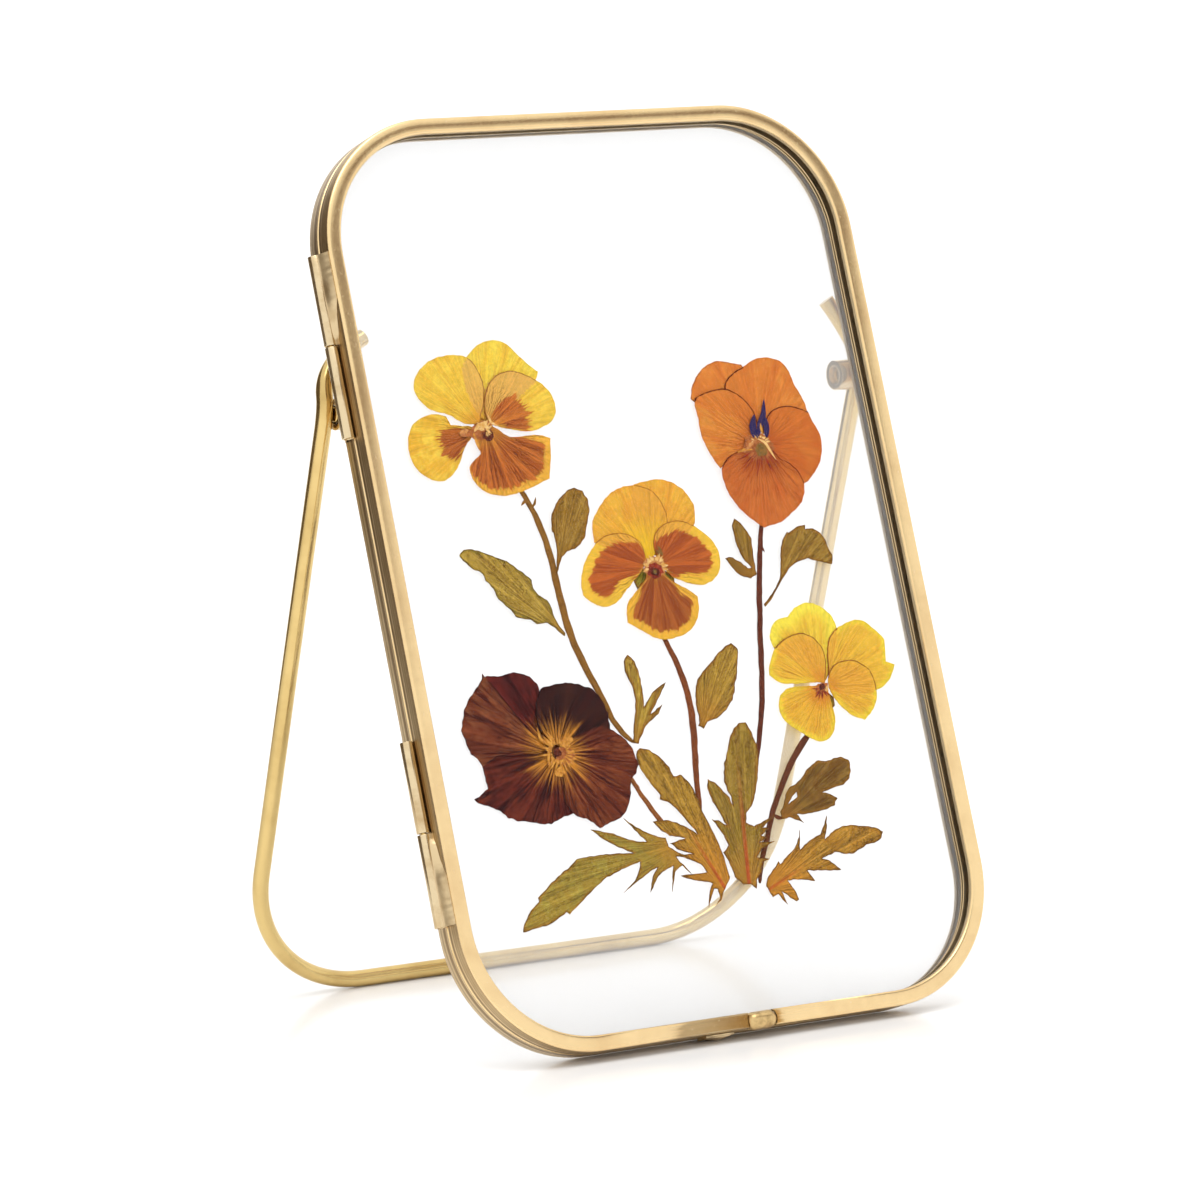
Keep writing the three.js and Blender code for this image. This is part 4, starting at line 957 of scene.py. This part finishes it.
# ------------------ stems
# Five stalks flattened by the press and grooved along their length, from nearly black to olive brown. Small
# pointed bracts of the same tissue stand out from them.
STEM_Z = -4.1
STEM_SPREAD = 0.12
BRACT_THICK = 0.12
BLADE_RIDGE = 0.04
STEMS = {
    "yellow_viola": ("9A6A22", "82541C", "4A2A0E"),
    "orange_viola": ("5A2412", "6E3216", "2C0F0A"),
    "bicolour_viola": ("8E4A1C", "743A18", "46190C"),
    "maroon_viola": ("A0622C", "86491F", "5A2C14"),
    "golden_viola": ("5E2C16", "6E3A1C", "321410"),
}
BRACTS = (
    ("yellow_viola", ((-24.3, 104.2), (-25.0, 103.9), (-25.8, 103.2)), 0.55),
    ("yellow_viola", ((-23.6, 102.6), (-22.8, 103.4), (-22.3, 104.6)), 0.5),
    ("orange_viola", ((25, 91.2), (25.4, 90.7), (25.6, 89.9)), 0.4),
    ("maroon_viola", ((-13.2, 48.7), (-12.6, 47.9), (-12.5, 47)), 0.9),
    ("golden_viola", ((15.8, 39.6), (16.8, 38.9), (17.8, 38.6)), 0.8),
)


# Dried stalks and throats are a little glossier than petals, and the eye sees them speckled. The last
# speckles also roughen them.
def speckled(name, colour, speckles, roughness, height_mm):
    material, tree, shader = new_material(name)
    place = node(tree, "ShaderNodeTexCoord", out="Object")
    tone = linear(colour)
    for tint, size_mm, rough, low, high in speckles:
        spots = {"Vector": place, "Scale": 1000 / size_mm, "Detail": 3, "Roughness": rough}
        pattern = node(tree, "ShaderNodeTexNoise", spots)
        share = node(tree, "ShaderNodeMapRange", {"Value": pattern, "From Min": low, "From Max": high})
        tone = node(tree, "ShaderNodeMix", {0: share, 6: tone, 7: linear(tint)}, 2, data_type="RGBA")
    bump = node(tree, "ShaderNodeBump", {"Height": pattern, "Strength": 0.5, "Distance": height_mm / 1000})
    skin = {"Base Color": tone, "Normal": bump, "Roughness": roughness, "Specular IOR Level": 0.2}
    connect(tree, shader, skin)
    return material


def blade(points, width, thickness, z):
    """A thin pointed blade along a line of points, widest in its middle, with a low ridge."""
    bpy.ops.mesh.primitive_grid_add(x_subdivisions=2, y_subdivisions=10, size=1)
    piece = bpy.context.object
    spots = [Vector((x, y, z)) for x, y in points]
    for vertex in piece.data.vertices:
        across = round(2 * vertex.co.x) / 2
        share = round(10 * vertex.co.y + 5) / 10
        place = share * (len(spots) - 1)
        k = min(int(place), len(spots) - 2)
        along = (spots[k + 1] - spots[k]).normalized()
        reach = width * math.sin(math.pi * (0.08 + 0.9 * share)) ** 0.8
        middle = spots[k].lerp(spots[k + 1], place - k)
        ridge = 0 if across else BLADE_RIDGE
        vertex.co = middle + Vector((along.y * reach * across, -along.x * reach * across, ridge))
    thicken(piece, thickness, 50)
    return piece


stalks = {}
for flower, (colour, second, dark) in STEMS.items():
    name = flower + "_stem"
    stem = cad_copy(name, "_stalk")
    bpy.ops.transform.shrink_fatten(value=STEM_SPREAD)
    leave_edit()
    rounding = stem.modifiers.new("rounding", "SUBSURF")
    rounding.levels = 3
    rounding.render_levels = 3
    bpy.ops.object.modifier_apply(modifier=rounding.name)
    for vertex in stem.data.vertices:
        vertex.co.x += 0.14 * noise.noise(Vector((vertex.co.x * 0.4, vertex.co.y * 0.4, 0)))
        vertex.co.x += 0.05 * noise.noise(vertex.co * 2)
    bpy.ops.object.shade_smooth()
    speckles = ((second, 5, 0.5, 0, 1), (dark, 0.45, 0.7, 0.5, 0.75))
    stalks[flower] = speckled("dried stalk of " + flower, colour, speckles, 0.6, 0.08)
    settle(stem, stalks[flower], name + "_stalk", "back_half", "stem", name)

for i, (flower, points, width) in enumerate(BRACTS):
    bract = blade(points, width, BRACT_THICK, STEM_Z)
    settle(bract, stalks[flower], flower + "_bract_" + str(i + 1), "back_half", "stem")

# ------------------ hearts
# The middle of each flower, dried on top of its petals: the dark opening of the throat, the pale hairs and
# crumpled petal claws round it, and on the orange flower a violet nectar mark.
HEART_Z = -3.38
BEHIND = -1.09
PATCH_THICK = 0.04
HAIR_THICK = 0.03
FOLD_THICK = 0.05

# Dried throat tissue keeps strong colours and a slight gloss, and the eye sees it spotted, in spots of 0.6 to
# 1.2 mm.
throats = {}
for kind, colour, second, size_mm in (
    ("cream throat hairs", "F2D08A", "DCA04C", 0.8),
    ("gold throat star", "E0A040", "B8722A", 0.7),
    ("dark maroon throat", "42160A", "702C14", 0.6),
    ("yellow petal claws", "DDA43C", "C98A32", 1.2),
    ("maroon petal claws", "7A4420", "A0662C", 1),
    ("tan throat folds", "DDA058", "B4683A", 0.6),
    ("red throat ring", "A8361E", "6E2414", 0.8),
    ("rust claw", "C07038", "8E4A22", 0.8),
    ("olive throat", "6E5624", "94662C", 0.6),
    ("violet nectar mark", "1C1650", "3E2A52", 0.7),
):
    throats[kind.split()[0]] = speckled(kind, colour, ((second, size_mm, 0.65, 0.38, 0.62),), 0.55, 0.1)


def patch(z, centre, radii, turn=0):
    """A flat, uneven disc of dried tissue."""
    bpy.ops.mesh.primitive_circle_add(vertices=40, radius=1, fill_type="NGON", location=(*centre, z))
    piece = bpy.context.object
    piece.scale = (*radii, 1)
    piece.rotation_euler.z = math.radians(turn)
    bpy.ops.object.transform_apply()
    middle = Vector((*centre, z))
    for vertex in piece.data.vertices:
        away = vertex.co - middle
        vertex.co = middle + away * (1 + 0.3 * noise.noise(away * 1.7 + Vector((*centre, 0))))
    edit_all()
    for size, lift in ((0.7, 0.03), (0.6, -0.02)):
        extrude(0, 0, lift)
        bpy.ops.transform.resize(value=(size, size, 1), center_override=tuple(middle))
    leave_edit()
    thicken(piece, PATCH_THICK, 60)
    return piece


def rays(z, centre, start, lengths, angles, width, count, seed):
    """A burst of thin tapering hairs or claws round a heart, joined in one piece."""
    draw = random.Random(seed)
    pieces = []
    for i in range(count):
        angle = math.radians(angles[0] + (angles[1] - angles[0]) * (i + draw.uniform(0.1, 0.9)) / count)
        length = draw.uniform(*lengths)
        bend = draw.uniform(-0.35, 0.35)
        spots = []
        for k in range(3):
            reach = start + length * k / 2
            turn = angle + bend * k / 4
            spots.append((centre[0] + reach * math.cos(turn), centre[1] + reach * math.sin(turn)))
        hair = blade(spots, width * draw.uniform(0.6, 1.3), HAIR_THICK, z + draw.uniform(-0.02, 0.02))
        pieces.append(hair)
    bpy.ops.object.select_all(action="DESELECT")
    for piece in pieces:
        piece.select_set(True)
    bpy.context.view_layer.objects.active = pieces[0]
    bpy.ops.object.join()
    return bpy.context.object


def fold(z, width, *points):
    """A crumpled fold of tissue along a line of points."""
    return blade(points, width, FOLD_THICK, z)


HEARTS = {
    "yellow": (
        ("claw", "rust", -0.03, patch, (-31.6, 118), (2.6, 1.6), 25),
        ("throat", "dark", 0, patch, (-30.4, 117), (1.2, 1.1), -20),
        ("claw_left", "tan", 0, patch, (-35.3, 117.8), (1.1, 0.75), 8),
        ("claw_fold", "rust", 0.04, patch, (-34.3, 117.6), (0.9, 0.5), 40),
        ("claws_behind", "yellow", BEHIND, patch, (-30.4, 119.2), (2, 2.1)),
        ("fold_left", "cream", 0.04, fold, 0.7, (-33.2, 117.9), (-32, 119), (-29.9, 119.7)),
        ("fold_right", "cream", 0.04, fold, 0.5, (-29.8, 121.2), (-29.2, 119.4), (-27.8, 118.5)),
        ("claw_lower", "gold", 0.04, fold, 0.6, (-33.4, 117.6), (-33.1, 115.8), (-32.8, 114.1)),
        ("hairs", "cream", 0.03, rays, (-30.8, 118.2), 0.2, (0.8, 1.9), (-40, 200), 0.36, 15, 3),
        ("anthers", "cream", 0.03, rays, (-30.4, 117.2), 0.1, (0.4, 0.9), (0, 360), 0.3, 5, 5),
    ),
    "orange": (
        ("claw", "rust", -0.03, patch, (28.6, 110.4), (3.4, 2.6)),
        ("throat", "olive", 0, patch, (29.1, 109.8), (1.3, 1.4)),
        ("arc_left", "tan", 0.04, fold, 0.55, (25, 109.6), (27, 111.1), (28.8, 112)),
        ("arc_right", "cream", 0.04, fold, 0.55, (28.8, 112), (30.2, 111.2), (31, 109.5), (31.9, 107.6)),
        ("arc_low", "gold", 0.04, fold, 0.5, (23.6, 109.7), (25.2, 110.1), (27.2, 110)),
        ("flame_tip", "violet", 0.04, fold, 1.35, (28.6, 112.2), (29.8, 114.6), (31.1, 116.6), (31.9, 119.6)),
        ("flame_left", "violet", 0.04, fold, 1.5, (28, 112.3), (28.1, 114.4), (29, 116.8)),
        ("flame_right", "violet", 0.04, fold, 1.3, (30.8, 112.2), (31.2, 114), (31.5, 116)),
        ("flame_slit", "gold", 0.09, fold, 0.5, (30, 112.8), (29.9, 114), (30, 115)),
        ("hairs", "cream", 0.03, rays, (29, 110.6), 1.6, (0.4, 1), (20, 165), 0.35, 11, 8),
        ("nectar_lines", "red", -0.02, rays, (29, 110.2), 1.6, (2, 5.5), (195, 340), 0.22, 11, 14),
    ),
    "bicolour": (
        ("claw", "tan", -0.03, patch, (0.2, 89.1), (2.5, 2.1)),
        ("throat_ring", "red", 0, patch, (0, 88.3), (1.75, 1.5), 10),
        ("throat", "dark", 0.05, patch, (0, 88.1), (0.95, 0.8)),
        ("stigma", "olive", 0.1, patch, (-0.1, 88.1), (0.4, 0.4)),
        ("hairs", "cream", 0.03, rays, (0.2, 88.8), 1.5, (0.5, 1.7), (-15, 195), 0.45, 17, 21),
        ("smudge", "olive", -0.02, rays, (2.4, 91.2), 0, (1.2, 2.2), (95, 145), 0.7, 4, 23),
    ),
    "maroon": (
        ("claws_behind", "maroon", BEHIND, patch, (-29.6, 56.8), (3.8, 4.8)),
        ("throat_fold", "rust", -0.03, patch, (-27.1, 55.3), (2.1, 1.7)),
        ("throat", "dark", 0.08, patch, (-28.8, 56), (0.8, 0.8), 20),
        ("anther_low", "gold", -0.02, patch, (-29, 52.4), (1, 0.9), 30),
        ("anther_high", "gold", 0, patch, (-25.9, 58), (1.2, 0.6), 15),
        ("fold_left", "gold", 0.04, fold, 0.6, (-31, 53.4), (-30.9, 55), (-30.3, 57), (-29, 58.8)),
        ("fold_high", "gold", 0.04, fold, 0.6, (-30, 57.4), (-31.8, 59), (-32, 61.2)),
        ("star", "gold", 0.03, rays, (-28.4, 56.1), 1.5, (0.6, 3), (0, 360), 0.4, 38, 31),
        ("ring", "gold", 0.03, rays, (-27.2, 55.4), 1.7, (0.3, 0.8), (-80, 120), 0.4, 14, 37),
    ),
    "golden": (
        ("claw", "rust", -0.03, patch, (31.9, 62.6), (1.5, 0.9), 20),
        ("throat", "dark", 0, patch, (32, 62.7), (0.8, 0.5), 20),
        ("hairs", "cream", 0.03, rays, (32.6, 62.3), 0.1, (0.4, 0.9), (-80, 60), 0.35, 5, 41),
        ("nectar_lines", "red", -0.02, rays, (31.9, 62.4), 0.5, (1, 2.2), (180, 310), 0.28, 8, 43),
    ),
}
for flower, rows in HEARTS.items():
    for label, kind, lift, make, *shape in rows:
        piece = make(HEART_Z + lift, *shape)
        settle(piece, throats[kind], flower + "_viola_" + label, "back_half", "petal_" + flower)

# ------------------ floor, light, camera
# A white glossy table in a white room, with one soft box above. Two painted cards show only as reflections: a
# dark one behind on the left, which gives the brass its brown lines, and a small brown one in front on the
# right, which tones the rings' top bar.
STAGE = (
    ("floor", "white glossy table", (0.95, 0.95, 0.95, 1), 0.2, (0, 0, 0), (0, 0, 0), (90, 90)),
    ("dark_card", "dark card", (0.11, 0.085, 0.06, 1), 0.8, (-0.34, 0.27, 0.22), (90, 0, 45), (0.6, 0.44)),
    ("brown_card", "brown card", (0.12, 0.07, 0.035, 1), 0.9, (0.27, -0.38, 0.43), (66, 0, 35), (0.5, 0.13)),
)
for name, finish, colour, roughness, place, turn, size in STAGE:
    bpy.ops.mesh.primitive_plane_add(size=1, location=place, rotation=[math.radians(a) for a in turn])
    board = bpy.context.object
    board.name = name
    board.scale = (*size, 1)
    material, tree, shader = new_material(finish)
    connect(tree, shader, {"Base Color": colour, "Roughness": roughness})
    board.data.materials.append(material)
    if name != "floor":
        board.visible_camera = False
        board.visible_transmission = False
        board.visible_diffuse = False
        board.visible_shadow = False

world = bpy.data.worlds.new("white room")
bpy.context.scene.world = world
world.use_nodes = True
connect(world.node_tree, world.node_tree.nodes["Background"], {"Color": (1, 1, 1, 1), "Strength": 1.2})

BOX_PLACE = Vector((-0.1, -0.25, 1.1))
BOX_AIM = Vector((0, 0, 0.05))
light = bpy.data.lights.new("top_box", "AREA")
light.shape = "RECTANGLE"
light.size = 0.8
light.size_y = 0.6
light.energy = 4
lamp = bpy.data.objects.new("top_box", light)
lamp.location = BOX_PLACE
lamp.rotation_euler = (BOX_AIM - BOX_PLACE).to_track_quat("-Z", "Y").to_euler()
bpy.context.scene.collection.objects.link(lamp)

CAMERA_PLACE = (-0.53993, -0.86999, 0.21174)
CAMERA_TURN = (82.5607, 1.1813, -31.7868)
CAMERA_LENS = 162.21
lens = bpy.data.cameras.new("camera")
lens.lens = CAMERA_LENS
lens.sensor_width = 36
lens.clip_end = 100
camera = bpy.data.objects.new("camera", lens)
camera.location = CAMERA_PLACE
camera.rotation_euler = [math.radians(turn) for turn in CAMERA_TURN]
bpy.context.scene.collection.objects.link(camera)
bpy.context.scene.camera = camera
bpy.context.scene.view_settings.view_transform = "Standard"
